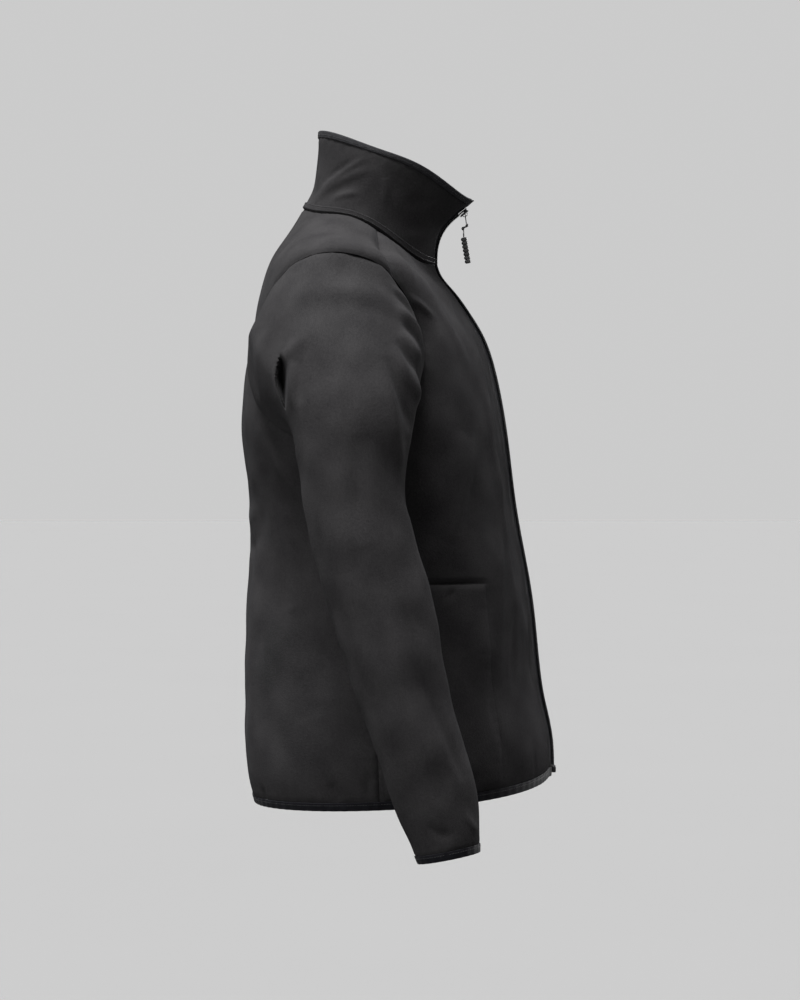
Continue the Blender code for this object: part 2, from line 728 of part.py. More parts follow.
def zip_frame(up, out):
    """A frame on the zip: x across, y up the zip and z outwards, at a height off the surface."""
    at = np.array([0.0])
    centre = front_line(at, at + up)[0]
    along = unit(front_line(at, at + up + 1)[0] - front_line(at, at + up - 1)[0])
    outward = np.cross((1.0, 0, 0), along)
    frame = Matrix.Identity(4)
    for column, axis in enumerate(((1.0, 0, 0), along, outward, centre + outward * out)):
        for row in range(3):
            frame[row][column] = axis[row]
    return frame


def extruded(name, outline, wide, frame, look):
    """A flat outline in the frame's y and z, given a width along its x."""
    count = len(outline)
    points = [frame @ Vector((x, *corner)) for x in (-wide / 2, wide / 2) for corner in outline]
    faces = [tuple(range(count)), tuple(range(count, 2 * count))]
    faces += [(i, (i + 1) % count, (i + 1) % count + count, i + count) for i in range(count)]
    return solid(name, points, faces, look)


def tube(name, points, radii, look, closed=False):
    """A round cord through points in millimetres."""
    curve = bpy.data.curves.new(name, "CURVE")
    curve.dimensions = "3D"
    curve.bevel_depth = MM
    curve.bevel_resolution = 2
    curve.use_fill_caps = True
    line = curve.splines.new("POLY")
    line.points.add(len(points) - 1)
    for point, co, radius in zip(line.points, points, radii):
        point.co = (*(Vector(co) * MM), 1)
        point.radius = radius
    line.use_cyclic_u = closed
    return place(name, curve, look)


def hinge():
    """The middle of the wire where it passes through the slider's bridge."""
    frame = zip_frame(NECK_UP + SLIDER_UP, SLIDER_TOP)
    return np.array(frame @ Vector((0, 0, BRIDGE_HOLE[1] / 2)))


def make_slider():
    frame = zip_frame(NECK_UP + SLIDER_UP, SLIDER_TOP)
    down = Matrix.Translation((0, 0, -SLIDER_SIZE[2] / 2))
    slider = block("zip_slider", SLIDER_SIZE, frame @ down, "zip_metal", bevel=0.8)
    long, tall = BRIDGE_HOLE
    reach = long / 2 + BRIDGE_WALL
    outline = [(-reach, -1), (-reach, tall), (-reach + 1, tall + BRIDGE_WALL)]
    outline += [(-y, z) for y, z in outline[::-1]]
    outline += [(long / 2, -1), (long / 2, tall), (-long / 2, tall), (-long / 2, -1)]
    bridge = extruded("slider_bridge", outline, BRIDGE_WIDE, frame, "zip_metal")
    bpy.data.collections["fleece_jacket"].objects.unlink(bridge)
    bpy.data.collections["cutters"].objects.link(bridge)
    bridge.hide_render = True
    join = slider.modifiers.new("bridge", "BOOLEAN")
    join.operation = "UNION"
    join.solver = "EXACT"
    join.object = bridge
    foot = zip_frame(ZIP_ENDS_IN + BOX_LONG / 2, -1.0)
    block("zip_box", (9, BOX_LONG - 2 * SEAM_GAP, 3.6), foot, "zip_metal", bevel=0.7)


def make_pull():
    at = hinge()
    half = ((1.7, 0.0), (2.4, -0.8), (2.4, -4.5), (1.7, -8.0), (0.7, -9.9))
    ring = [(x, z) for x, z in half] + [(-x, z) for x, z in half[::-1]]
    loop = [at + (x, 0.12 * z, z) for x, z in ring]
    tube("pull_loop", loop, [LOOP_WIRE] * len(loop), "pull_rubber", closed=True)
    cord = [at + (0, y, z) for y, z in zip(CORD["y"], CORD["z"])]
    tube("pull_cord", cord, CORD["radius"], "pull_rubber")
    start, end = (np.array((0, *corner)) for corner in GRIP_ENDS)
    along = unit(end - start)
    side = np.array((1.0, 0, 0))
    fore = np.cross(side, along)
    points = []
    for i in range(2 * GRIP_ROWS + 1):
        size = 1.0 if i % 2 else 0.72
        centre = at + start + (end - start) * i / (2 * GRIP_ROWS)
        for k in range(GRIP_SIDES):
            angle = 2 * math.pi * k / GRIP_SIDES
            across = side * math.cos(angle) * GRIP_DEEP + fore * math.sin(angle) * GRIP_WIDE
            points.append(centre + across * size / 2)
    columns = [list(range(GRIP_SIDES))] * (2 * GRIP_ROWS + 1)
    faces = strip(columns, range(2 * GRIP_ROWS + 1), closed=True)[1]
    faces += [tuple(range(GRIP_SIDES)), tuple(range(len(points) - GRIP_SIDES, len(points)))]
    solid("pull_grip", points, faces, "pull_rubber")


def clear_scene():
    for thing in list(bpy.data.objects):
        bpy.data.objects.remove(thing)
    for name in ("fleece_jacket", "cutters"):
        collection = bpy.data.collections.new(name)
        bpy.context.scene.collection.children.link(collection)


def main():
    clear_scene()
    make_fronts()
    make_back()
    make_sleeves()
    make_collar()
    make_hem()
    make_zip()
    make_slider()
    make_pull()
    print("hinge at", [round(float(c), 2) for c in hinge()])


main()
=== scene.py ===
import math

import bpy
import numpy as np
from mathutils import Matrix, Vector, geometry


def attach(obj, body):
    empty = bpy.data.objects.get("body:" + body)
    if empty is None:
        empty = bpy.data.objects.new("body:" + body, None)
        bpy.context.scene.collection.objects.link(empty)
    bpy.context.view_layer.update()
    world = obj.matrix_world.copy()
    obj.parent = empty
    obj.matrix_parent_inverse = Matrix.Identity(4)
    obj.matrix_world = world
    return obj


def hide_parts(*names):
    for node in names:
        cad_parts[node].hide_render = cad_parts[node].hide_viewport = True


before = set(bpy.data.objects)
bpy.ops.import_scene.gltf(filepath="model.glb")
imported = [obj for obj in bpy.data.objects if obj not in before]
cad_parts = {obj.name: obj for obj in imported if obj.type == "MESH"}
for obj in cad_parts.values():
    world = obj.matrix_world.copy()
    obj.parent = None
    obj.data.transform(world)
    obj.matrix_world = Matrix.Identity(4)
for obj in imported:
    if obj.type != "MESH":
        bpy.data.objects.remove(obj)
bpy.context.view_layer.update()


# Lengths are millimetres here, and become metres as each mesh is made. A place on the cloth is a turn
# round the body in degrees (0 front, 90 right side, 180 back) and a height up the cloth.


mm = 0.001


# the jacket's shape, the same as its solids
shape = {
    "zipEdge": 12.0,            # from the front centre to the fronts' edges
    "ridgeRound": 8.0,          # the zip stands forward on a soft ridge
    "ridgeFade": 8.0,
    "bindingWidth": 8.5,
    "collarBindingWidth": 6.0,
    "neckUp": 730.0,
    "collarUp": 92.0,
    "neckTapeUp": 8.0,
    "capAlong": 150.0,
    "cuffAlong": 606.0,
    "shoulderSeamAt": 45.0,
    "neckSeamTurn": 80.0,
    "sideSeamTurn": 97.0,
    "torsoScale": 3.3,          # millimetres for a degree, on average
    "sleeveScale": 1.0,
    "collarScale": 1.5,
    "middle": (0.0, -30.0, -300.0),
}


def table(columns, *rows):
    return dict(zip(columns.split(), np.array(rows, float).T))


torsoRings = table(
    "up  frontY backY sideX sideY  z0  z45  z90  z135 z180  roundF roundB keel",
    (0, -211, 136, 184, -35, -641, -649, -660, -666, -669, 2.2, 2.4, 9),
    (33, -210, 144, 188, -35, -605, -613, -626, -634, -638, 2.2, 2.4, 9),
    (105, -197, 147, 188, -30, -546, -551, -557, -562, -564, 2.2, 2.4, 11),
    (235, -183, 146, 187, -22, -428, -429, -430, -431, -432, 2.2, 2.4, 11),
    (340, -163.5, 142, 189, -12, -324, -325, -326, -327, -328, 2.2, 2.4, 12),
    (440, -150.5, 149, 193, 0, -223, -226, -236, -226, -223, 2.2, 2.8, 12),
    (512, -135.5, 142, 190, 6, -150, -157, -162, -152, -150, 2.1, 3, 12),
    (565, -122, 134, 198, 14, -114, -118, -92, -100, -97, 1.8, 2.8, 11.5),
    (610, -108, 126, 203, 18, -89, -88, -37, -56, -57, 1.65, 2.3, 10),
    (655, -94, 113, 160, 14, -67, -63, -19, -21, -24, 1.7, 2, 8),
    (695, -80, 96, 117, 8, -49, -45, -4, 3, 4, 1.8, 2, 7),
    (730, -75, 79, 79, 4, -35, -30, 8, 22, 32, 2, 2, 6),
)
collarRings = table(
    "up  frontY backY sideX sideY  z0  z45  z90  z135 z180  roundF roundB keel",
    (0, -75, 79, 79, 4, -35, -30, 8, 22, 32, 2, 2, 6),
    (20, -75, 70, 76, 2, -15, -5, 27, 41, 50, 2, 2, 7),
    (46, -83, 64, 74, -6, 9, 21, 51, 66, 76, 1.95, 2, 9),
    (70, -101, 62, 73, -16, 26, 43, 72, 90, 100, 1.85, 2, 9),
    (92, -119.5, 61, 72, -26, 41, 65, 89.5, 111.5, 124, 1.75, 2, 9),
)
# the armhole, one row for each 45 degrees of the sleeve's own turn, from the shoulder
armhole = table(
    "turn up",
    (92, 606),
    (74, 590),
    (67, 532),
    (79, 462),
    (99, 433),
    (120, 436),
    (134, 503),
    (120, 585),
)
sleeveRings = table(
    "along x    y    z   halfOut halfFore",
    (150, -256, 16, -252, 59, 62),
    (212, -268, 12, -314, 55, 54),
    (320, -284, -14, -421, 52, 56),
    (430, -299, -41, -528, 46, 48),
    (542, -307, -74, -635, 41, 44),
    (590, -309, -85, -681, 37, 36.5),
    (606, -310, -88, -696, 35, 33.5),
)
cap = table(
    "lift carry",
    (14, 1.0),
    (28, 0.9),
    (55, 0.8),
    (85, 0.7),
    (112, 0.9),
    (92, 0.75),
    (70, 0.9),
    (34, 0.9),
)

# folds, each on a curve through three places; height is outwards
foldColumns = "turnA upA turnB upB turnC upC height width"
torsoMainFolds = table(
    foldColumns,
    (30, 455, 31, 330, 33, 190, 4.0, 12),
    (52, 430, 60, 370, 68, 300, 4.0, 18),
    (135, 440, 118, 370, 105, 290, 5.0, 15),
    (150, 380, 136, 280, 120, 160, -5.0, 22),
)
torsoSoftFolds = table(
    foldColumns,
    (23.9, 430, 39.8, 281, 47.8, 130, 2.6, 8),       # bright ridge down the front
    (46, 430, 56, 366, 66, 300, 2.0, 7),             # from the armpit forwards
    (20.7, 222, 25.5, 177, 30.4, 130, 2.6, 7),
    (32, 236, 36, 180, 39.4, 124, -2.8, 8),
    (8.3, 200, 12, 160, 16.2, 120, -2.2, 7),
    (49, 185, 54, 110, 50, 40, -1.8, 6),             # along the pocket's front
    (131.3, 456, 122.4, 381, 118.5, 300, 3.4, 8),    # behind the arm
    (134.1, 400, 131, 300, 127, 226, -3.6, 11),
    (127.5, 232, 121, 160, 116, 104, -3.4, 20),
    (152, 250, 153, 150, 154, 46, 2.2, 16),
    (147.2, 24, 147, 16, 146.4, 6, -2.2, 4),         # gathers over the hem
    (113.8, 34, 112, 22, 110.5, 10, -2.2, 5),
    (100, 40, 101, 26, 100, 10, -1.6, 5),
    (66, 34, 65, 22, 65, 10, -1.6, 5),
    (30, 36, 31, 24, 31, 10, -1.5, 5),
    (168, 38, 168, 24, 167, 9, -1.8, 6),
    (70, 579, 63.5, 577, 57, 574, 2.6, 5),           # into the front of the armhole
    (52, 604, 46, 560, 42, 500, 2.6, 13),
    (20, 640, 31, 588, 37, 520, 1.8, 11),
    (14, 560, 17, 486, 21, 414, -2.0, 10),
    (88, 300, 84, 225, 78, 140, 2.4, 14),
    (72.5, 578, 78.3, 655, 80, 724, -4.8, 9),        # where the yoke meets the front
    (66, 585, 69, 640, 73, 700, 2.2, 11),
    (126, 440, 119.5, 300, 114, 120, -8.0, 21),      # the hollow beside the arm
    (50, 257.6, 66, 257.6, 86, 257.6, -3.6, 1.9),    # above the pocket's mouth
    (66, 252, 67, 246, 69.5, 240, -1.8, 3.5),
    (96, 330, 99, 250, 97, 150, -2.4, 12),
    (165, 430, 160, 300, 166, 150, -3.0, 17),        # down the back
    (176, 560, 173, 470, 176, 380, 2.6, 18),
    (150, 560, 160, 520, 168, 440, -2.4, 15),
    (140, 352, 158, 334, 176, 340, 2.6, 12),
    (142, 318, 160, 300, 178, 308, -2.4, 10),
    (120, 560, 131, 548, 142, 520, 2.0, 11),
)
sleeveMainFolds = table(
    foldColumns,
    (70, 60, 80, 110, 78, 170, 4.0, 9),
    (62, 150, 70, 300, 78, 480, 2.5, 10),
)
sleeveSoftFolds = table(
    foldColumns,
    (38, 17, 52, 11, 66, 15, 2.4, 4),                # drag lines in front of the shoulder
    (44, 24, 54, 20, 66, 22, -2.0, 3.5),
    (46, 40, 61, 33.7, 84, 27, 3.6, 6),
    (52, 50, 68, 47, 88, 43, -3.2, 5),
    (50, 57, 70, 66, 94, 59, 4.2, 7),
    (47, 68, 68, 82, 94, 82, -3.8, 6),
    (41, 75, 64, 99, 96, 106, 4.2, 8),
    (37, 86, 54, 120, 84, 142, -3.4, 7),
    (33, 92, 46, 137, 70, 190, 4.2, 9),
    (20.0, 322, 37, 455, 53, 532, -2.8, 9),          # long trough down the forearm
    (8.7, 150, 4, 210, -1, 268, -3.2, 12),
    (-24, 75, -38, 83.7, -50, 86.5, 3.4, 5),
    (-66, 30, -86, 48, -104, 62, -5.5, 15),
    (-40, 92, -50, 109, -64, 126, 3.6, 5),
    (-56, 88, -68, 102, -84, 112, 2.4, 5),
    (-33, 91, -43, 108, -50, 126, -3.2, 6),
    (-38, 42, 0, 35, 46, 37, 3.4, 11),
    (-0.2, 322, 7.2, 433, 6.6, 545, 2.0, 12),
    (-36, 300, -30, 400, -26, 500, 2.2, 14),
    (-62, 250, -56, 340, -50, 430, -2.2, 13),
    (-92, 150, -84, 220, -72, 300, 3.0, 12),
    (-128, 60, -118, 120, -104, 190, -3.2, 12),
    (-150, 40, -140, 110, -130, 200, 3.0, 11),
    (120, 30, 130, 90, 124, 160, 3.0, 9),            # under the arm and inside the elbow
    (150, 30, 155, 100, 150, 180, -3.2, 9),
    (138, 250, 172, 264, 206, 250, 3.2, 8),
    (132, 284, 170, 300, 208, 286, -3.4, 8),
    (140, 322, 174, 338, 212, 324, 3.0, 9),
    (100, 330, 122, 350, 146, 356, -2.4, 9),
    (96, 420, 124, 440, 160, 436, 2.2, 9),
    (110, 520, 132, 534, 160, 530, 2.2, 8),
    (40, 556, 52, 574, 70, 580, 1.8, 6),
    (-20, 560, -6, 574, 14, 578, -1.6, 6),
)
# pushed straight in from the side
sleeveDeepFolds = table(
    foldColumns,
    (-48, 84, -58.5, 104, -76, 121, 24.0, 5.6),      # the dark fold behind the arm
)
collarMainFolds = table(
    foldColumns,
    (150, 12, 125, 38, 98, 62, 2.5, 7),
)
collarSoftFolds = table(
    foldColumns,
    (146, 24, 121, 54.6, 106, 80, 2.2, 5),
    (140, 40, 122, 58, 104, 84, -1.4, 5),
    (123, 18, 112, 26, 100, 31, 1.7, 4),
    (54, 12, 33, 26, 12, 39, 1.6, 6),
    (60, 46, 46, 60, 30, 76, -1.4, 7),
    (86, 60, 80, 46, 78, 30, 1.4, 6),
    (176, 20, 168, 44, 170, 74, -1.6, 8),
)

# what the fine cloth adds to the solids' shape
cloth = {
    "wall": 2.0,
    "seamGap": 0.3,
    "step": 3.7,                # between the points of a panel
    "armColumns": 148,
    "armColumnShares": (0.0, 0.2, 0.51, 1.0),       # more of them where the deep fold is
    "armColumnTurns": (180, 265, 330, 540),         # from the seam under the arm
    "armholeColumn": 2.5,       # degrees
    "sleeveStep": 2.6,
    "edgeSink": 1.1,            # how far an edge is drawn in by its seam
    "edgeWide": 2.3,
    "lap": 2.5,                 # a side seam's layers lap inside, so no light comes through
    "lapUnder": 0.6,
    "pucker": 0.2,              # along a seam
    "puckerLong": 17.0,
    "puckerWide": 9.0,
    "waver": 0.55,              # the cloth's slight unevenness, and how long its waves are
    "waverBody": 70.0,
    "waverArm": 60.0,
    "waverCollar": 45.0,
    "capRows": 64,
    "capRowPower": 1.08,        # rows lie closer together at the armhole
    "foldSegments": 12,
}


def spline(knots, values, at):
    count = len(knots)
    gap = np.diff(knots)
    system = np.eye(count)
    target = np.zeros(count)
    slope = np.diff(values) / gap
    for i in range(1, count - 1):
        system[i, i - 1 : i + 2] = gap[i - 1], 2 * (gap[i - 1] + gap[i]), gap[i]
        target[i] = 6 * (slope[i] - slope[i - 1])
    bend = np.linalg.solve(system, target)
    at = np.clip(at, knots[0], knots[-1])
    i = np.clip(np.searchsorted(knots, at) - 1, 0, count - 2)
    after = (at - knots[i]) / gap[i]
    before = 1 - after
    cubic = (before**3 - before) * bend[i] + (after**3 - after) * bend[i + 1]
    return before * values[i] + after * values[i + 1] + cubic * gap[i] ** 2 / 6


def aroundHalf(values, turn):
    steps = np.arange(5)
    basis = np.cos(np.outer(steps, steps) * math.pi / 4)
    waves = np.tensordot(np.linalg.inv(basis), np.array(values), 1)
    return sum(waves[k] * np.cos(k * np.radians(turn)) for k in steps)


def aroundWhole(values, turn):
    places = np.radians(np.arange(8) * 45)
    total = np.mean(values) + np.zeros_like(turn)
    for k in (1, 2, 3, 4):
        share = 8 if k == 4 else 4
        total = total + values @ np.cos(k * places) / share * np.cos(k * np.radians(turn))
        total = total + values @ np.sin(k * places) / share * np.sin(k * np.radians(turn))
    return total


def unit(vectors):
    return vectors / np.maximum(np.linalg.norm(vectors, axis=-1, keepdims=True), 1e-9)


def ringPoint(rings, turn, up):
    row = {name: spline(rings["up"], rings[name], up) for name in rings if name != "up"}
    cos, sin = np.cos(np.radians(turn)), np.sin(np.radians(turn))
    depth = np.where(cos > 0, row["sideY"] - row["frontY"], row["backY"] - row["sideY"])
    power = np.where(cos > 0, row["roundF"], row["roundB"])
    reach = (np.abs(cos) / depth) ** power + (np.abs(sin) / row["sideX"]) ** power
    reach = reach ** (-1 / power)
    x = -reach * sin
    ridge = np.exp((shape["ridgeRound"] - np.hypot(x, shape["ridgeRound"])) / shape["ridgeFade"])
    keel = np.where(cos > 0, row["keel"] * ridge, 0)
    y = row["sideY"] - reach * cos - keel
    z = aroundHalf([row[f"z{angle}"] for angle in (0, 45, 90, 135, 180)], turn)
    return np.stack([x, y, z], axis=-1)


def normalOf(surface, turn, up, step=2.0):
    roundIt = surface(turn + step, up) - surface(turn - step, up)
    upIt = surface(turn, up + step) - surface(turn, up - step)
    return unit(np.cross(upIt, roundIt))


def foldHeight(folds, scale, turn, up, steep=False):
    turn, up = np.broadcast_arrays(np.asarray(turn, float), np.asarray(up, float))
    x, y = turn.ravel() * scale, up.ravel()
    lift = np.zeros(x.size)
    count = cloth["foldSegments"]
    share = np.linspace(0, 1, count + 1)
    weights = ((1 - share) * (1 - 2 * share), 4 * share * (1 - share), share * (2 * share - 1))
    for i in range(len(folds["height"])):
        lineX = sum(w * folds[f"turn{k}"][i] for w, k in zip(weights, "ABC")) * scale
        lineY = sum(w * folds[f"up{k}"][i] for w, k in zip(weights, "ABC"))
        reach = 2.8 * folds["width"][i]
        near = (x > lineX.min() - reach) & (x < lineX.max() + reach)
        near = np.flatnonzero(near & (y > lineY.min() - reach) & (y < lineY.max() + reach))
        if not len(near):
            continue
        nearest = np.full(len(near), np.inf)
        along = np.zeros(len(near))
        for j in range(count):
            runX, runY = lineX[j + 1] - lineX[j], lineY[j + 1] - lineY[j]
            toX, toY = x[near] - lineX[j], y[near] - lineY[j]
            part = np.clip((toX * runX + toY * runY) / (runX**2 + runY**2), 0, 1)
            far = np.hypot(toX - part * runX, toY - part * runY)
            closer = far < nearest
            along = np.where(closer, (j + part) / count, along)
            nearest = np.where(closer, far, nearest)
        fade = np.sin(math.pi * np.clip(along, 0.02, 0.98)) ** 0.7
        far = nearest / folds["width"][i]
        far = (far / fade) ** 1.5 if steep else far    # a steep one is a lens with sharp sides
        lift[near] += folds["height"][i] * fade * np.exp(-(far**2))
    return lift.reshape(turn.shape)


def otherSide(folds, turnShift, upShift):
    # the left side's folds are like the right's, a little apart and uneven
    count = np.arange(len(folds["height"]))
    changed = {name: values.copy() for name, values in folds.items()}
    for k, phase in zip("ABC", (0.0, 0.9, 2.1)):
        changed[f"turn{k}"] += turnShift * np.sin(count * 2.4 + phase)
        changed[f"up{k}"] += upShift * np.sin(count * 1.7 + 1.3 + phase)
    changed["height"] *= 0.78 + 0.22 * np.cos(count * 3.1)
    return changed


torsoLeftFolds = otherSide(torsoSoftFolds, 3.0, 8.0)
sleeveLeftFolds = otherSide(sleeveSoftFolds, 5.0, 9.0)
sleeveLeftDeep = otherSide(sleeveDeepFolds, 5.0, 7.0)
collarLeftFolds = otherSide(collarSoftFolds, 5.0, 3.0)


def waver(points, long):
    # a slight unevenness from a few slow waves through space
    rng = np.random.default_rng(7)
    total = np.zeros(points.shape[:-1])
    for i in range(14):
        direction = unit(rng.normal(size=3))
        wave = long * (0.6 + 0.9 * rng.random())
        total += np.sin(points @ direction * 2 * math.pi / wave + rng.random() * 7)
    return total / math.sqrt(7)


def ringLift(mainFolds, rightFolds, leftFolds, scale, turn, up):
    turn, up = np.broadcast_arrays(np.asarray(turn, float) % 360, np.asarray(up, float))
    half = np.where(turn > 180, 360 - turn, turn)
    right = foldHeight(rightFolds, scale, half, up)
    left = foldHeight(leftFolds, scale, half, up)
    share = 1 / (1 + np.exp((turn - 180) / 2.5))
    return foldHeight(mainFolds, scale, half, up) + share * right + (1 - share) * left


def torsoForm(turn, up):
    return ringPoint(torsoRings, turn, up)


def torso(turn, up):
    scale = shape["torsoScale"]
    lift = ringLift(torsoMainFolds, torsoSoftFolds, torsoLeftFolds, scale, turn, up)
    return torsoForm(turn, up) + normalOf(torsoForm, turn, up) * lift[..., None]


def collarForm(turn, up):
    return ringPoint(collarRings, turn, up)


def collarSurface(turn, up):
    scale = shape["collarScale"]
    lift = ringLift(collarMainFolds, collarSoftFolds, collarLeftFolds, scale, turn, up)
    fade = np.clip(np.asarray(up, float) / 9, 0, 1) ** 2       # the neck seam stays shut
    lift = lift * fade + foldHeight(collarMainFolds, scale, halfTurn(turn), up) * (1 - fade)
    return collarForm(turn, up) + normalOf(collarForm, turn, up) * lift[..., None]


def halfWrap(turn):
    return (np.asarray(turn, float) + 180) % 360 - 180


def halfTurn(turn):
    return np.abs((np.asarray(turn, float) + 180) % 360 - 180)


def frontLine(turn, up):
    # the torso and, past the neck seam, the collar, for the zip that runs up both
    low = torsoForm(turn, np.minimum(up, shape["neckUp"]))
    high = collarForm(turn, np.maximum(up - shape["neckUp"], 0))
    return np.where((np.asarray(up) < shape["neckUp"])[..., None], low, high)


def armholePlace(turn):
    return aroundWhole(armhole["turn"], turn), aroundWhole(armhole["up"], turn)


def armSection(turn, along):
    knots = sleeveRings["along"]
    before, centre, after = (
        np.stack([spline(knots, sleeveRings[name], along + step) for name in "xyz"], axis=-1)
        for step in (-8, 0, 8)
    )
    axis = unit(after - before)
    outward = np.array([-1.0, 0, 0])
    outward = unit(outward - (axis @ outward)[..., None] * axis)
    forward = np.cross(outward, axis)
    angle = np.radians(turn)[..., None]
    halfOut = spline(knots, sleeveRings["halfOut"], along)[..., None]
    halfFore = spline(knots, sleeveRings["halfFore"], along)[..., None]
    return centre + np.cos(angle) * halfOut * outward + np.sin(angle) * halfFore * forward


mirror = np.array([-1.0, 1, 1])


def sleeveForm(turn, along, left):
    # a cap that leaves the armhole and bends into the arm's tube, as on the wearer's right
    turn, along = np.broadcast_arrays(np.asarray(turn, float), np.asarray(along, float))
    seamTurns = np.arange(-8.0, 369.0, 1.0)
    onTurn, onUp = armholePlace(seamTurns)
    seam = torso(360 - onTurn, onUp) * mirror if left else torso(onTurn, onUp)
    away = normalOf(torsoForm, onTurn, onUp)
    tangent = np.gradient(seam, axis=0)
    inward = unit(np.cross(tangent, away))
    at = turn % 360
    start, outward, leaveFlat = (
        np.stack([np.interp(at, seamTurns, values[:, k]) for k in range(3)], axis=-1)
        for values in (seam, away, inward)
    )
    lift = np.radians(aroundWhole(cap["lift"], turn))[..., None]
    leave = np.cos(lift) * unit(leaveFlat) + np.sin(lift) * unit(outward)
    first = armSection(turn, np.full(turn.shape, shape["capAlong"]))
    arrive = unit(armSection(turn, np.full(turn.shape, shape["capAlong"] + 10)) - first)
    chord = np.linalg.norm(first - start, axis=-1, keepdims=True)
    carry = aroundWhole(cap["carry"], turn)[..., None]
    q = np.clip(along / shape["capAlong"], 0, 1)[..., None]
    capPoint = (
        (2 * q**3 - 3 * q**2 + 1) * start
        + (q**3 - 2 * q**2 + q) * leave * chord * carry
        + (3 * q**2 - 2 * q**3) * first
        + (q**3 - q**2) * arrive * chord
    )
    tube = armSection(turn, np.maximum(along, shape["capAlong"]))
    return np.where((along < shape["capAlong"])[..., None], capPoint, tube)


def sleeveLift(turn, along, left):
    wrapped = halfWrap(turn)
    scale = shape["sleeveScale"]
    soft = foldHeight(sleeveLeftFolds if left else sleeveSoftFolds, scale, wrapped, along)
    fade = np.clip(np.asarray(along, float) / 12, 0, 1)
    lift = soft * fade**2 * (3 - 2 * fade)
    return lift + foldHeight(sleeveMainFolds, scale, wrapped, along)


def zipTurn(rings, offset, up):
    front = spline(rings["up"], rings["frontY"], up)
    side = spline(rings["up"], rings["sideY"], up)
    return np.degrees(np.arcsin(offset / (side - front)))


# meshes

def border(faces):
    edges = set()
    for face in faces:
        edges.update(zip(face, (*face[1:], face[0])))
    return [edge for edge in edges if edge[::-1] not in edges]


def addMesh(name, points, faces, look, weave=None, sharp=60):
    mesh = bpy.data.meshes.new(name)
    mesh.from_pydata((np.asarray(points) * mm).tolist(), [], faces)
    if weave is not None:
        marks = mesh.attributes.new("weave", "FLOAT_VECTOR", "POINT")
        marks.data.foreach_set("vector", (np.asarray(weave) * mm).astype(np.float32).ravel())
    mesh.shade_smooth()
    mesh.set_sharp_from_angle(angle=math.radians(sharp))
    mesh.update()
    piece = bpy.data.objects.new(name, mesh)
    piece.data.materials.append(look)
    bpy.context.scene.collection.objects.link(piece)
    return piece


def turnedOut(points, faces, out):
    # the faces, turned so that they face the way the cloth does
    sample = faces[:: max(1, len(faces) // 400)]
    side = 0.0
    for face in sample:
        a, b, c = (points[i] for i in face[:3])
        side += float(np.cross(b - a, c - a) @ out[face[0]])
    return faces if side > 0 else [tuple(reversed(face)) for face in faces]


def addShell(name, outer, out, faces, look, weave, wall, lap=0.0):
    faces = turnedOut(outer, faces, out)
    count = len(outer)
    inner = [tuple(i + count for i in reversed(face)) for face in faces]
    rim = [(b, a, a + count, b + count) for a, b in border(faces)]
    points = np.concatenate([outer, outer - out * wall + lap])
    return addMesh(name, points, [*faces, *inner, *rim], look, np.concatenate([weave, weave]))


def strip(rows, across, closed=False):
    last = across if closed else across - 1
    faces = []
    for i in range(rows - 1):
        for j in range(last):
            k = (j + 1) % across
            faces.append((i * across + j, i * across + k, (i + 1) * across + k, (i + 1) * across + j))
    return faces


def resampled(line, step, scale):
    line = np.array(line, float)
    flat = line * (scale, 1)
    along = np.concatenate([[0], np.cumsum(np.linalg.norm(np.diff(flat, axis=0), axis=1))])
    at = np.linspace(0, along[-1], max(1, round(along[-1] / step)) + 1)
    return np.stack([np.interp(at, along, line[:, k]) for k in (0, 1)], axis=1)


def trimmed(surface, outline, gap):
    turn, up = outline.T
    step = 0.5
    byTurn = (surface(turn + step, up) - surface(turn - step, up)) / (2 * step)
    byUp = (surface(turn, up + step) - surface(turn, up - step)) / (2 * step)
    run = np.roll(outline, -1, axis=0) - np.roll(outline, 1, axis=0)
    tangent = unit(byTurn * run[:, :1] + byUp * run[:, 1:])
    after = np.roll(outline, -1, axis=0)
    area = np.sum(outline[:, 0] * after[:, 1] - after[:, 0] * outline[:, 1])
    inward = unit(np.cross(np.cross(byTurn, byUp), tangent)) * np.sign(area)
    moved = []
    for i in range(len(outline)):
        basis = np.stack([byTurn[i], byUp[i]], axis=1)
        moved.append(outline[i] + np.linalg.lstsq(basis, inward[i] * gap, rcond=None)[0])
    return np.array(moved)


def edgeDistance(outline, points):
    # how far each point is inside an outline, below zero outside, and where along it
    x, y = points.T
    inside = np.zeros(len(points), bool)
    nearest = np.full(len(points), np.inf)
    along = np.zeros(len(points))
    passed = 0.0
    for (ax, ay), (bx, by) in zip(outline, np.roll(outline, -1, axis=0)):
        crosses = (ay > y) != (by > y)
        inside ^= crosses & (x < (bx - ax) * (y - ay) / (by - ay if by != ay else 1) + ax)
        long = math.hypot(bx - ax, by - ay)
        part = ((x - ax) * (bx - ax) + (y - ay) * (by - ay)) / max(long**2, 1e-9)
        part = np.clip(part, 0, 1)
        far = np.hypot(x - ax - part * (bx - ax), y - ay - part * (by - ay))
        closer = far < nearest
        along = np.where(closer, passed + part * long, along)
        nearest = np.where(closer, far, nearest)
        passed += long
    return np.where(inside, nearest, -nearest), along


def seamLift(far, along, depth=cloth["edgeSink"]):
    # the edge is drawn in, and puckers a little
    sink = -depth * np.exp(-((far / cloth["edgeWide"]) ** 2))
    beat = along * 2 * math.pi / cloth["puckerLong"]
    ripple = np.sin(beat) + 0.6 * np.sin(beat * 1.618 + 1) + 0.4 * np.sin(beat * 0.41)
    return sink + cloth["pucker"] * ripple * np.exp(-far / cloth["puckerWide"])


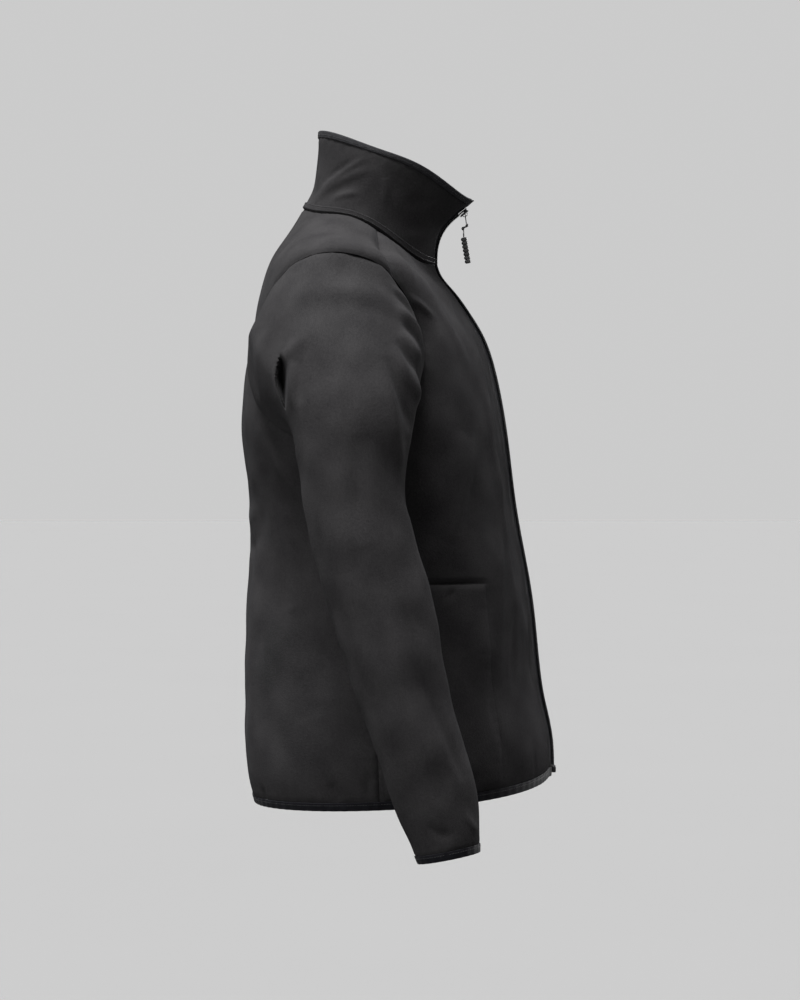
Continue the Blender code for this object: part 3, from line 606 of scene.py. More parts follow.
def cutPanel(surface, outline, gap):
    step, scale = cloth["step"], shape["torsoScale"]
    flat = trimmed(surface, outline, gap) * (scale, 1)
    low, high = flat.min(axis=0), flat.max(axis=0)
    rows = np.arange(low[1] + step / 2, high[1], step * 0.866)
    columns = np.arange(low[0], high[0], step)
    x, y = np.meshgrid(columns, rows)
    x = x + (np.arange(len(rows)) % 2)[:, None] * step / 2
    lattice = np.stack([x.ravel(), y.ravel()], axis=1)
    lattice = lattice[edgeDistance(flat, lattice)[0] > 0.55 * step]
    points = [Vector(p) for p in np.concatenate([flat, lattice])]
    made = geometry.delaunay_2d_cdt(points, [], [list(range(len(flat)))], 1, 1e-4)
    places = np.array([(p.x, p.y) for p in made[0]])
    far, along = edgeDistance(flat, places)
    return places / (scale, 1), [tuple(f) for f in made[2]], np.abs(far), along


def level(turns, up):
    return np.stack([turns, np.full(len(turns), up)], axis=1)


def armholePart(start, end):
    count = round(abs(end - start) / cloth["armholeColumn"]) + 1
    return np.stack(armholePlace(np.linspace(start, end, count)), axis=1)


def shoulderSeam():
    seamTurn, seamUp = armholePlace(np.array([shape["shoulderSeamAt"]]))
    share = np.linspace(0, 1, 60)
    turn = seamTurn + (shape["neckSeamTurn"] - seamTurn) * share**0.5
    up = seamUp + (shape["neckUp"] - seamUp) * share
    return resampled(np.stack([turn, up], axis=1), cloth["step"], shape["torsoScale"])


def sideSeam():
    armpitTurn, armpitUp = armholePlace(np.array([180.0]))
    share = np.linspace(0, 1, 60)
    turn = shape["sideSeamTurn"] + (armpitTurn - shape["sideSeamTurn"]) * share**3
    up = shape["bindingWidth"] + (armpitUp - shape["bindingWidth"]) * share
    return resampled(np.stack([turn, up], axis=1), cloth["step"], shape["torsoScale"])


def evenly(start, end, scale, step):
    return np.linspace(start, end, round(abs(end - start) * scale / step) + 1)


def leftOf(surface):
    return lambda turn, up: surface(360 - turn, up)


# materials: every one is procedural, on the cloth's own lengths where it has them

def newLook(name, base, roughness, metallic=0.0):
    look = bpy.data.materials.new(name)
    look.use_nodes = True
    shader = look.node_tree.nodes["Principled BSDF"]
    shader.inputs["Base Color"].default_value = (*base, 1)
    shader.inputs["Roughness"].default_value = roughness
    shader.inputs["Metallic"].default_value = metallic
    return look, look.node_tree, shader


def addNode(tree, kind, inputs=None, **settings):
    node = tree.nodes.new(kind)
    for name, value in settings.items():
        setattr(node, name, value)
    for name, value in (inputs or {}).items():
        if hasattr(value, "is_output"):
            tree.links.new(value, node.inputs[name])
        else:
            node.inputs[name].default_value = value
    return node


def noise(tree, where, scale, detail=3.0, roughness=0.55):
    inputs = {"Vector": where, "Scale": scale, "Detail": detail, "Roughness": roughness}
    return addNode(tree, "ShaderNodeTexNoise", inputs).outputs["Fac"]


def maths(tree, operation, a, b=0.0, c=0.0):
    return addNode(tree, "ShaderNodeMath", {0: a, 1: b, 2: c}, operation=operation).outputs[0]


def spread(tree, value, low, high, toLow, toHigh):
    inputs = {"Value": value, "From Min": low, "From Max": high, "To Min": toLow, "To Max": toHigh}
    return addNode(tree, "ShaderNodeMapRange", inputs).outputs["Result"]


def paint(tree, shader, share, dark, pale):
    inputs = {0: share, 6: (*dark, 1), 7: (*pale, 1)}
    node = addNode(tree, "ShaderNodeMix", inputs, data_type="RGBA")
    tree.links.new(node.outputs[2], shader.inputs["Base Color"])


def roughen(tree, shader, value, low, high):
    tree.links.new(spread(tree, value, 0.3, 0.7, low, high), shader.inputs["Roughness"])


def bumped(tree, shader, height, distance):
    inputs = {"Height": height, "Distance": distance, "Strength": 1.0}
    node = addNode(tree, "ShaderNodeBump", inputs)
    tree.links.new(node.outputs["Normal"], shader.inputs["Normal"])


def split(tree, vector):
    return addNode(tree, "ShaderNodeSeparateXYZ", {"Vector": vector}).outputs


def placeOn(tree):
    return addNode(tree, "ShaderNodeTexCoord").outputs["Object"]


def weaveOn(tree):
    # across and along the cloth, in metres
    return split(tree, addNode(tree, "ShaderNodeAttribute", attribute_name="weave").outputs["Vector"])


def wave(tree, along, pitch, phase=0.0):
    # 0 to 1, once every pitch metres
    angle = maths(tree, "MULTIPLY_ADD", along, 2 * math.pi / pitch, phase)
    return maths(tree, "MULTIPLY_ADD", maths(tree, "SINE", angle), 0.5, 0.5)


fleeceLook = {
    "dark": (0.0066, 0.0064, 0.0067),
    "light": (0.0140, 0.0136, 0.0139),
    "walePitch": 0.00115,
    "coursePitch": 0.0009,
    "napDepth": 0.00028,
    "gloss": 0.0,
    "sheen": 0.005,
    "sheenRoughness": 0.45,
}


def makeFleece():
    look, tree, shader = newLook("charcoalFleece", fleeceLook["dark"], 0.86)
    shader.inputs["Specular IOR Level"].default_value = fleeceLook["gloss"]
    shader.inputs["Sheen Weight"].default_value = fleeceLook["sheen"]
    shader.inputs["Sheen Roughness"].default_value = fleeceLook["sheenRoughness"]
    shader.inputs["Sheen Tint"].default_value = (0.82, 0.84, 0.90, 1)
    where = placeOn(tree)
    across = weaveOn(tree)
    wales = wave(tree, across[0], fleeceLook["walePitch"])
    courses = wave(tree, across[1], fleeceLook["coursePitch"])
    knit = maths(tree, "MULTIPLY", wales, courses)
    nap = noise(tree, where, 1500.0, 4.0, 0.65)
    tufts = noise(tree, where, 420.0, 3.0, 0.6)
    clouds = noise(tree, where, 26.0, 3.0, 0.5)
    shade = maths(tree, "MULTIPLY_ADD", nap, 0.45, maths(tree, "MULTIPLY", tufts, 0.35))
    shade = maths(tree, "MULTIPLY_ADD", clouds, 0.35, shade)
    share = spread(tree, shade, 0.42, 0.74, 0.0, 1.0)
    paint(tree, shader, share, fleeceLook["dark"], fleeceLook["light"])
    roughen(tree, shader, tufts, 0.78, 0.94)
    height = maths(tree, "MULTIPLY_ADD", knit, 0.35, maths(tree, "MULTIPLY", nap, 0.8))
    height = maths(tree, "MULTIPLY_ADD", tufts, 0.9, height)
    bumped(tree, shader, height, fleeceLook["napDepth"])
    return look


# the hem and cuffs' binding is the collar's binding painted darker, as painted shade
bindingLook = {
    "shadedEdgeDark": (0.0014, 0.0014, 0.0019),       # hem and cuffs: painted shade, darker than the collar's copy of the same binding
    "shadedEdgePale": (0.0036, 0.0037, 0.0048),
    "collarDark": (0.0052, 0.0052, 0.0058),
    "collarLight": (0.0115, 0.0115, 0.0125),
    "gloss": 0.03,
    "sheen": 0.003,
    "ribPitch": 0.0013,
    "ribDepth": 0.00022,
}


def makeBinding(name, dark, pale):
    look, tree, shader = newLook(name, dark, 0.6)
    shader.inputs["Specular IOR Level"].default_value = bindingLook["gloss"]
    shader.inputs["Sheen Weight"].default_value = bindingLook["sheen"]
    where = placeOn(tree)
    across = weaveOn(tree)
    ribs = wave(tree, across[0], bindingLook["ribPitch"])
    rows = wave(tree, across[1], bindingLook["ribPitch"] * 0.8)
    grain = noise(tree, where, 1800.0, 3.0, 0.6)
    mottle = noise(tree, where, 120.0, 3.0, 0.5)
    share = spread(tree, maths(tree, "MULTIPLY_ADD", ribs, 0.5, mottle), 0.4, 1.1, 0.0, 1.0)
    paint(tree, shader, share, dark, pale)
    roughen(tree, shader, grain, 0.5, 0.72)
    height = maths(tree, "MULTIPLY_ADD", ribs, 0.8, maths(tree, "MULTIPLY", rows, 0.25))
    height = maths(tree, "MULTIPLY_ADD", grain, 0.3, height)
    bumped(tree, shader, height, bindingLook["ribDepth"])
    return look


zipLook = {
    "gloss": 0.05,
    "tape": (0.0030, 0.0030, 0.0035),
    "tapeLight": (0.0100, 0.0100, 0.0115),
    "twillPitch": 0.0016,
    "tapeDepth": 0.0002,
    "teeth": (0.0040, 0.0040, 0.0044),
    "teethWorn": (0.012, 0.012, 0.013),
    "teethGloss": 0.15,
    "metal": (0.010, 0.010, 0.011),
    "metalWorn": (0.045, 0.045, 0.048),
    "rubber": (0.0075, 0.0075, 0.008),
    "rubberWorn": (0.018, 0.018, 0.019),
}


def makeTape():
    look, tree, shader = newLook("zipTape", zipLook["tape"], 0.62)
    shader.inputs["Specular IOR Level"].default_value = zipLook["gloss"]
    across = weaveOn(tree)
    slant = maths(tree, "ADD", across[0], across[1])
    twill = wave(tree, slant, zipLook["twillPitch"])
    ribs = wave(tree, across[1], zipLook["twillPitch"] * 0.5)
    where = placeOn(tree)
    grain = noise(tree, where, 1400.0)
    share = maths(tree, "MULTIPLY", twill, spread(tree, grain, 0.3, 0.7, 0.4, 1.0))
    paint(tree, shader, share, zipLook["tape"], zipLook["tapeLight"])
    roughen(tree, shader, grain, 0.5, 0.75)
    bumped(tree, shader, maths(tree, "MULTIPLY_ADD", ribs, 0.3, twill), zipLook["tapeDepth"])
    return look


def makeSmooth(name, base, worn, roughness, metallic=0.0, scale=500.0, depth=0.00004):
    # moulded or painted pieces: a little uneven, and paler where they rub
    look, tree, shader = newLook(name, base, roughness, metallic)
    where = placeOn(tree)
    grain = noise(tree, where, scale, 4.0, 0.6)
    clouds = noise(tree, where, scale / 9, 3.0, 0.5)
    edge = addNode(tree, "ShaderNodeNewGeometry").outputs["Pointiness"]
    rub = maths(tree, "MULTIPLY", spread(tree, edge, 0.5, 0.62, 0.0, 1.0), clouds)
    share = maths(tree, "MULTIPLY_ADD", grain, 0.25, rub)
    paint(tree, shader, share, base, worn)
    roughen(tree, shader, clouds, roughness - 0.08, roughness + 0.1)
    bumped(tree, shader, grain, depth)
    return look


threadLook = {
    "base": (0.006, 0.006, 0.0065),
    "light": (0.018, 0.018, 0.019),
    "twist": 0.0007,
    "depth": 0.00008,
    "gloss": 0.1,
}


def makeThread():
    look, tree, shader = newLook("sewingThread", threadLook["base"], 0.55)
    shader.inputs["Specular IOR Level"].default_value = threadLook["gloss"]
    where = placeOn(tree)
    parts = split(tree, where)
    sloped = maths(tree, "ADD", maths(tree, "ADD", parts[0], parts[1]), parts[2])
    twist = wave(tree, sloped, threadLook["twist"])
    grain = noise(tree, where, 900.0)
    share = maths(tree, "MULTIPLY", twist, grain)
    paint(tree, shader, share, threadLook["base"], threadLook["light"])
    bumped(tree, shader, twist, threadLook["depth"])
    return look


fleece = makeFleece()
# the hem and cuffs get a copy of the binding painted darker, as painted shade
binding = makeBinding("shadedElasticBinding", bindingLook["shadedEdgeDark"], bindingLook["shadedEdgePale"])
collarBinding = makeBinding("collarBinding", bindingLook["collarDark"], bindingLook["collarLight"])
zipTape = makeTape()
thread = makeThread()
coilLook = makeSmooth("coilNylon", zipLook["teeth"], zipLook["teethWorn"], 0.5)
coilShader = coilLook.node_tree.nodes["Principled BSDF"]
coilShader.inputs["Specular IOR Level"].default_value = zipLook["teethGloss"]
metal = makeSmooth("paintedMetal", zipLook["metal"], zipLook["metalWorn"], 0.34, 0.85)
rubber = makeSmooth(
    "pullRubber", zipLook["rubber"], zipLook["rubberWorn"], 0.46, scale=900.0, depth=0.00008
)
print("stage: materials")


def dress(piece, node, body="jacket"):
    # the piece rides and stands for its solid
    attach(piece, body)
    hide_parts(node)
    return piece


def sideLap(surface, turn, up, far, out):
    # at a side seam the inner edges lean towards the front, the back's one under the front's
    armpitTurn, armpitUp = (float(value[0]) for value in armholePlace(np.array([180.0])))
    share = np.clip((up - shape["bindingWidth"]) / (armpitUp - shape["bindingWidth"]), 0, 1)
    seam = shape["sideSeamTurn"] + (armpitTurn - shape["sideSeamTurn"]) * share**3
    half = halfTurn(turn)
    onSeam = (far < 0.01) & (np.abs(half - seam) < 0.4) & (up < armpitUp)
    forward = unit(surface(turn - 0.5, up) - surface(turn + 0.5, up))
    forward *= np.where(turn > 180, -1, 1)[:, None]
    under = cloth["lapUnder"] * (half > seam)
    return (forward * cloth["lap"] - out * under[:, None]) * onSeam[:, None]


def outwardOf(form, turn, up, base):
    # a mirrored surface turns its normals inwards, so they are set by the jacket's middle
    out = normalOf(form, turn, up)
    return -out if np.mean((base - shape["middle"]) * out) < 0 else out


def panelShell(name, surface, form, cut, lift, wall, sink, laps):
    places, faces, far, along = cut
    turn, up = places.T
    base = surface(turn, up)
    out = outwardOf(form, turn, up, base)
    height = seamLift(far, along, sink) + cloth["waver"] * waver(base, cloth["waverBody"]) + lift
    weave = np.stack([turn * shape["torsoScale"], up, np.zeros(len(turn))], axis=1)
    lap = sideLap(surface, turn, up, far, out) if laps else 0.0
    points = base + out * height[:, None]
    return addShell(name, points, out, faces, fleece, weave, wall, lap)


pocket = {
    "front": 52.0,
    "top": 255.0,
    "back": 84.0,
    "wall": 1.6,
    "lift": 1.9,
    "foot": 12.5,
    "openingUp": 58.5,
    "sideIn": 2.0,              # degrees in front of the side seam
    "sink": 0.7,
    "puff": 0.9,
    "puffWide": 6.0,
}


def pocketOutline():
    side = shape["sideSeamTurn"] - pocket["sideIn"]
    corners = [
        (pocket["front"], pocket["top"]),
        (pocket["front"], pocket["foot"]),
        (side, pocket["foot"]),
        (side, pocket["openingUp"]),
        (pocket["back"], pocket["top"]),
        (pocket["front"], pocket["top"]),
    ]
    step, scale = cloth["step"], shape["torsoScale"]
    sides = [resampled(pair, step, scale)[:-1] for pair in zip(corners, corners[1:])]
    return np.concatenate(sides)


def makeFronts():
    low, high = shape["bindingWidth"], shape["neckUp"]
    scale, step = shape["torsoScale"], cloth["step"]
    ups = evenly(high, low, 1.0, step)
    zipSide = np.stack([zipTurn(torsoRings, shape["zipEdge"], ups), ups], axis=1)
    hem = level(evenly(zipSide[-1, 0], shape["sideSeamTurn"], scale, step), low)
    neckLow = zipTurn(collarRings, shape["zipEdge"], 0.0)
    neck = level(evenly(shape["neckSeamTurn"], neckLow, shape["collarScale"], step), high)
    sides = (zipSide, hem, sideSeam(), armholePart(180, shape["shoulderSeamAt"]), shoulderSeam(), neck)
    outline = np.concatenate([side[:-1] for side in sides])
    panel = cutPanel(torso, outline, cloth["seamGap"] / 2)
    patch = cutPanel(torso, pocketOutline(), 0.0)
    puff = pocket["lift"] + pocket["puff"] * (1 - np.exp(-patch[2] / pocket["puffWide"]))
    wall, sink = cloth["wall"], cloth["edgeSink"]
    for side in ("right", "left"):
        surface, form = (torso, torsoForm) if side == "right" else (leftOf(torso), leftOf(torsoForm))
        name = f"front_{side}"
        piece = panelShell(f"{name}_cloth", surface, form, panel, 0.0, wall, sink, True)
        dress(piece, name)
        name, thin, shallow = f"pocket_{side}", pocket["wall"], pocket["sink"]
        piece = panelShell(f"{name}_cloth", surface, form, patch, puff, thin, shallow, False)
        dress(piece, name)


def makeBack():
    low, high = shape["bindingWidth"], shape["neckUp"]
    scale, step = shape["torsoScale"], cloth["step"]
    aroundArm = armholePart(180, 360 + shape["shoulderSeamAt"])
    right = np.concatenate([sideSeam()[:-1], aroundArm[:-1], shoulderSeam()])
    left = right[::-1] * (-1, 1) + (360, 0)
    neckTurn, sideTurn = shape["neckSeamTurn"], shape["sideSeamTurn"]
    neck = level(evenly(neckTurn, 360 - neckTurn, shape["collarScale"], step), high)
    hem = level(evenly(360 - sideTurn, sideTurn, scale, step), low)
    outline = np.concatenate([side[:-1] for side in (right, neck, left, hem)])
    panel = cutPanel(torso, outline, cloth["seamGap"] / 2)
    wall, sink = cloth["wall"], cloth["edgeSink"]
    piece = panelShell("back_cloth", torso, torsoForm, panel, 0.0, wall, sink, True)
    dress(piece, "back")


def sleeveShell(name, left, alongs, turns, look, lift, wall):
    grid = np.repeat(turns[None], len(alongs), axis=0)
    rows = np.array([np.broadcast_to(a, len(turns)) for a in alongs])
    form = lambda turn, along: sleeveForm(turn, along, left)
    out = normalOf(form, grid, rows)
    base = form(grid, rows)
    height = sleeveLift(grid, rows, left) + lift(grid, rows)
    height += cloth["waver"] * waver(base, cloth["waverArm"])
    points = base + out * height[..., None]
    folds = sleeveLeftDeep if left else sleeveDeepFolds
    points[..., 0] += foldHeight(folds, shape["sleeveScale"], halfWrap(grid), rows, steep=True)
    if left:
        points, out = points * mirror, out * mirror
    weave = np.stack([grid * shape["sleeveScale"], rows, np.zeros(grid.shape)], axis=-1)
    faces = strip(len(alongs), len(turns), closed=True)
    flatOut = out.reshape(-1, 3)
    return addShell(name, points.reshape(-1, 3), flatOut, faces, look, weave.reshape(-1, 3), wall)


def makeSleeves():
    shares = np.arange(cloth["armColumns"]) / cloth["armColumns"]
    turns = np.interp(shares, cloth["armColumnShares"], cloth["armColumnTurns"])
    end = shape["cuffAlong"] - shape["bindingWidth"]
    for side, left in (("right", False), ("left", True)):
        zero = np.zeros(len(turns))
        onward = sleeveForm(turns, zero + 1, left) - sleeveForm(turns, zero, left)
        first = cloth["seamGap"] / 2 / np.linalg.norm(onward, axis=-1)
        capRows = np.linspace(0, 1, cloth["capRows"])[1:] ** cloth["capRowPower"] * shape["capAlong"]
        count = round((end - shape["capAlong"]) / cloth["sleeveStep"])
        armRows = np.linspace(shape["capAlong"], end - cloth["seamGap"], count + 1)[1:]
        alongs = [first, *(zero + a for a in capRows), *(zero + a for a in armRows)]

        def lift(turn, along):
            far = np.minimum(along, end - along)
            return seamLift(np.maximum(far, 0), turn * 1.2)

        name = f"sleeve_{side}"
        piece = sleeveShell(f"{name}_cloth", left, alongs, turns, fleece, lift, cloth["wall"])
        dress(piece, name)


makeFronts()
print("stage: fronts and pockets")
makeBack()
print("stage: back")
makeSleeves()
print("stage: sleeves")


# bindings and collar: a rounded profile carried along the edge
bands = {
    "proud": 0.7,
    "lip": 1.1,
    "lipUnder": 0.75,
    "round": 1.5,
    "sides": 5,
    "ripple": 2.1,
    "cuffScale": 0.62,          # millimetres of weave for a degree
    "cuffRipple": 0.18,
}
collarMake = {
    "rows": 36,
    "columnStep": 2.4,
    "bindingStep": 2.2,
    "tapeLow": 1.0,
    "tapeThick": 1.5,
    "tapeRound": 0.6,
}


def roundedCorners(corners):
    # a closed profile of heights and lifts, each corner with its own radius
    points = []
    for i, (up, lift, radius) in enumerate(corners):
        here = np.array((up, lift))
        before, after = (np.array(corners[j % len(corners)][:2]) for j in (i - 1, i + 1))
        start = here + unit(before - here) * radius
        end = here + unit(after - here) * radius
        for share in np.linspace(0, 1, bands["sides"]):
            points.append((1 - share) ** 2 * start + 2 * share * (1 - share) * here + share**2 * end)
    return np.array(points)


def boundProfile(edge, fold):
    # a binding folded over the cloth's edge, whose outer layer laps the cloth a little
    outer, inner = bands["proud"], -cloth["wall"] - bands["proud"]
    lip = edge + math.copysign(bands["lip"], edge - fold)
    under = -bands["lipUnder"]
    return roundedCorners([
        (fold, outer, bands["round"]),
        (lip, outer, 0.45),
        (lip, under, 0.2),
        (edge, under, 0.1),
        (edge, inner, 0.4),
        (fold, inner, bands["round"]),
    ])


def bandMesh(name, rows, weave, look, closed):
    # each row is one point of the profile carried round; the ends are capped where it isn't closed
    rows, weave = np.array(rows), np.array(weave)
    count, across = rows.shape[:2]
    faces = []
    for i in range(count):
        k = (i + 1) % count
        for j in range(across if closed else across - 1):
            m = (j + 1) % across
            faces.append((i * across + j, i * across + m, k * across + m, k * across + j))
    if not closed:
        faces.append(tuple(i * across for i in range(count)))
        faces.append(tuple(i * across + across - 1 for i in reversed(range(count))))
    points = rows.reshape(-1, 3)
    out = (rows - rows.mean(axis=0)[None]).reshape(-1, 3)
    faces = turnedOut(points, faces, out)
    return addMesh(name, points, faces, look, weave.reshape(-1, 3), 75)


def bandAround(name, surface, form, turns, profile, look, wobble, weaveScale):
    rows, weave = [], []
    for up, lift in profile:
        at = np.full(len(turns), up)
        base = surface(turns, at)
        ripple = wobble * np.sin(turns * weaveScale / bands["ripple"])
        rows.append(base + outwardOf(form, turns, at, base) * (lift + ripple)[:, None])
        weave.append(np.stack([turns * weaveScale, at, np.full(len(turns), lift)], axis=1))
    return bandMesh(name, rows, weave, look, False)


def aroundTurns(rings, up, step, scale):
    low = float(zipTurn(rings, shape["zipEdge"], up))
    return evenly(low, 360 - low, scale, step)


def makeCollar():
    wall, gap = cloth["wall"], cloth["seamGap"]
    low, high = gap / 2, shape["collarUp"] - shape["collarBindingWidth"] - gap
    scale = shape["collarScale"]
    ups = np.linspace(low, high, collarMake["rows"])
    turns = aroundTurns(collarRings, low, collarMake["columnStep"], scale)
    share = (turns - turns[0]) / (turns[-1] - turns[0])
    grid = []
    for up in ups:
        edge = float(zipTurn(collarRings, shape["zipEdge"], up))
        grid.append(edge + (360 - 2 * edge) * share)
    grid = np.array(grid)
    rows = np.repeat(ups[:, None], grid.shape[1], axis=1)
    base = collarSurface(grid, rows)
    out = normalOf(collarForm, grid, rows)
    far = np.minimum(rows - low, high - rows)
    far = np.minimum(far, np.minimum(grid - grid[:, :1], grid[:, -1:] - grid) * scale)
    height = seamLift(far, grid * 1.5 + rows * 0.3)
    height += 0.6 * cloth["waver"] * waver(base, cloth["waverCollar"])
    points = (base + out * height[..., None]).reshape(-1, 3)
    weave = np.stack([grid * scale, rows, np.zeros(grid.shape)], axis=-1).reshape(-1, 3)
    faces = strip(len(ups), grid.shape[1])
    piece = addShell("collar_cloth", points, out.reshape(-1, 3), faces, fleece, weave, wall)
    dress(piece, "collar")

    low, high, thick = collarMake["tapeLow"], shape["neckTapeUp"], collarMake["tapeThick"]
    corners = ((low, gap + thick), (high, gap + thick), (high, gap), (low, gap))
    profile = roundedCorners([(*corner, collarMake["tapeRound"]) for corner in corners])
    place = (collarSurface, collarForm, turns, profile)
    piece = bandAround("neck_tape_cloth", *place, fleece, 0.12, scale)
    dress(piece, "neck_tape")

    low, high = shape["collarUp"] - shape["collarBindingWidth"], shape["collarUp"]
    turns = aroundTurns(collarRings, high, collarMake["bindingStep"], scale)
    place = (collarSurface, collarForm, turns, boundProfile(low, high))
    piece = bandAround("collar_binding_cloth", *place, collarBinding, 0.15, scale)
    dress(piece, "collar_binding")


def makeHem():
    profile = boundProfile(shape["bindingWidth"] - cloth["seamGap"] / 2, 0.0)
    scale = shape["torsoScale"]
    turns = aroundTurns(torsoRings, 4.0, 2.6, scale)
    piece = bandAround("hem_binding_cloth", torso, torsoForm, turns, profile, binding, 0.25, scale)
    dress(piece, "hem_binding")


def makeCuffs():
    low, high = shape["cuffAlong"] - shape["bindingWidth"], shape["cuffAlong"]
    turns = np.arange(180, 540, 2.5)
    profile = boundProfile(low, high)
    for side, left in (("right", False), ("left", True)):
        form = lambda turn, along: sleeveForm(turn, along, left)
        rows, weave = [], []
        for along, lift in profile:
            at = np.full(len(turns), along)
            out = normalOf(form, turns, at)
            height = lift + sleeveLift(turns, at, left) + bands["cuffRipple"] * np.sin(turns / 2.5)
            row = form(turns, at) + out * height[:, None]
            rows.append(row * mirror if left else row)
            weave.append(np.stack([turns * bands["cuffScale"], at, np.full(len(turns), lift)], axis=1))
        name = f"cuff_binding_{side}"
        piece = bandMesh(f"{name}_cloth", rows, weave, binding, True)
        dress(piece, name)


makeCollar()
makeHem()
makeCuffs()
print("stage: collar, hem and cuffs")


# the zip
zipper = {
    "tapeInner": 1.8,
    "tapeOuter": 19.0,
    "tapeDepth": 3.5,
    "tapeWall": 1.0,
    "endsIn": 2.0,
    "boxLong": 9.0,
    "toothPitch": 1.55,
    "toothRadius": 0.62,
    "toothDeep": 1.62,
    "toothReach": 2.7,
    "coreWide": 1.0,
    "coreDepths": (1.2, 3.9),
    "chainProud": -0.5,
    "sliderUp": 72.0,
    "sliderLong": 12.0,
    "sliderWide": 9.0,
    "sliderTall": 4.6,
    "sliderTop": 1.7,
    "sliderFoot": 0.78,         # how wide its foot is beside its shoulders
    "upperPlate": 1.5,
    "lowerPlate": 1.4,
    "soft": 0.14,               # how far a plate's edges are rounded in
    "postHalf": 1.7,
    "railWide": 0.9,
    "bridgeHole": (4.8, 2.2),
    "bridgeHalf": (1.2, 0.42),
    "bridgeSides": 12,
    "boxHalf": 4.5,
    "boxDepths": (-2.5, 1.8),
}


def frontTurn(offset, up):
    if up < shape["neckUp"]:
        return float(zipTurn(torsoRings, offset, up))
    return float(zipTurn(collarRings, offset, up - shape["neckUp"]))


def makeTapes():
    top = shape["neckUp"] + shape["collarUp"]
    ups = np.arange(zipper["endsIn"], top - zipper["endsIn"], 2.5)
    offsets = np.linspace(zipper["tapeInner"], zipper["tapeOuter"], 9)
    turns = np.array([[frontTurn(offset, up) for offset in offsets] for up in ups])
    rows = np.repeat(ups[:, None], len(offsets), axis=1)
    base = frontLine(turns, rows)
    out = normalOf(frontLine, turns, rows)
    for side, flip in (("right", np.ones(3)), ("left", mirror)):
        points = (base - out * zipper["tapeDepth"]).reshape(-1, 3) * flip
        direction = (out * flip).reshape(-1, 3)
        weave = np.stack([np.broadcast_to(offsets, rows.shape), rows, 0 * rows], axis=-1)
        faces, wall = strip(len(ups), len(offsets)), zipper["tapeWall"]
        name = f"zip_tape_{side}"
        flatWeave = weave.reshape(-1, 3)
        piece = addShell(f"{name}_cloth", points, direction, faces, zipTape, flatWeave, wall)
        dress(piece, name)


def endFaces(count, sides):
    # the two ends of a tube of rings
    return [tuple(reversed(range(sides))), tuple(range(count - sides, count))]


def capsules(starts, ends, outs, radius, sides=6, squash=0.8):
    # one short rounded body from each start to its end
    starts, ends = np.asarray(starts), np.asarray(ends)
    run = ends - starts
    along = unit(run)
    across = unit(np.cross(along, outs))
    up = np.cross(across, along)
    shares = ((0.0, 0.35), (0.12, 0.85), (0.5, 1.0), (0.88, 0.85), (1.0, 0.35))
    rings = []
    for share, wide in shares:
        centre = starts + run * share
        for k in range(sides):
            angle = 2 * math.pi * k / sides
            side = across * math.cos(angle) * radius * wide
            rings.append(centre + (side + up * math.sin(angle) * radius * wide * squash))
    points = np.stack(rings, axis=1).reshape(-1, 3)
    each = len(shares) * sides
    pattern = []
    for i in range(len(shares) - 1):
        for k in range(sides):
            m = (k + 1) % sides
            pattern.append((i * sides + k, i * sides + m, (i + 1) * sides + m, (i + 1) * sides + k))
    pattern += endFaces(each, sides)
    return points, [tuple(i + n * each for i in face) for n in range(len(starts)) for face in pattern]


def makeTeeth():
    low = zipper["endsIn"] + zipper["boxLong"]
    high = shape["neckUp"] + zipper["sliderUp"] - zipper["sliderLong"] / 2 - 0.3
    ups = np.arange(low, high, zipper["toothPitch"])
    zero = np.zeros(len(ups))
    centre = frontLine(zero, ups)
    along = unit(np.gradient(centre, axis=0))
    out = unit(np.cross(np.array([1.0, 0, 0]), along))
    side = np.array([1.0, 0, 0])
    starts, ends, outs = [], [], []
    depth = zipper["chainProud"] - zipper["toothDeep"]
    for sign in (-1, 1):
        shift = 0.0 if sign < 0 else zipper["toothPitch"] / 2
        base = centre + out * depth + along * shift
        starts.append(base + side * sign * zipper["toothReach"] - along * 0.25)
        ends.append(base - side * sign * 0.35 + along * 0.55)
        outs.append(out)
    starts, ends, outs = (np.concatenate(group) for group in (starts, ends, outs))
    thick = zipper["toothDeep"] / zipper["toothRadius"]
    points, faces = capsules(starts, ends, outs, zipper["toothRadius"], 8, thick)
    # the core that the coil is wound on
    half = side * zipper["coreWide"] / 2
    shallow, deep = (centre - out[: len(centre)] * depth for depth in zipper["coreDepths"])
    core = np.stack([shallow - half, shallow + half, deep + half, deep - half], axis=1)
    coreFaces = strip(len(centre), 4, closed=True)
    middle = np.repeat(core.mean(axis=1), 4, axis=0)
    core = core.reshape(-1, 3)
    coreFaces += endFaces(len(core), 4)
    coreFaces = turnedOut(core, coreFaces, core - middle)
    faces += [tuple(i + len(points) for i in face) for face in coreFaces]
    piece = addMesh("zip_teeth_coil", np.concatenate([points, core]), faces, coilLook, None, 80)
    dress(piece, "zip_chain")


def sweep(name, points, radii, look, closed=False, sides=14, across=(1.0, 0, 0)):
    # a round cord through points
    points = np.asarray(points, float)
    if closed:
        tangent = unit(np.roll(points, -1, axis=0) - np.roll(points, 1, axis=0))
    else:
        tangent = unit(np.gradient(points, axis=0))
    guide = np.array(across)
    sideways = unit(guide - (tangent @ guide)[:, None] * tangent)
    other = np.cross(tangent, sideways)
    radii = np.broadcast_to(radii, len(points))
    rings = []
    for k in range(sides):
        angle = 2 * math.pi * k / sides
        spoke = sideways * math.cos(angle) + other * math.sin(angle)
        rings.append(points + spoke * radii[:, None])
    mesh = np.stack(rings, axis=1).reshape(-1, 3)
    faces = strip(len(points), sides, closed=True)
    if closed:
        last = (len(points) - 1) * sides
        faces += [(last + k, last + (k + 1) % sides, (k + 1) % sides, k) for k in range(sides)]
    else:
        faces += endFaces(len(mesh), sides)
    out = (np.stack(rings, axis=1) - points[:, None]).reshape(-1, 3)
    return addMesh(name, mesh, turnedOut(mesh, faces, out), look, None, 50)


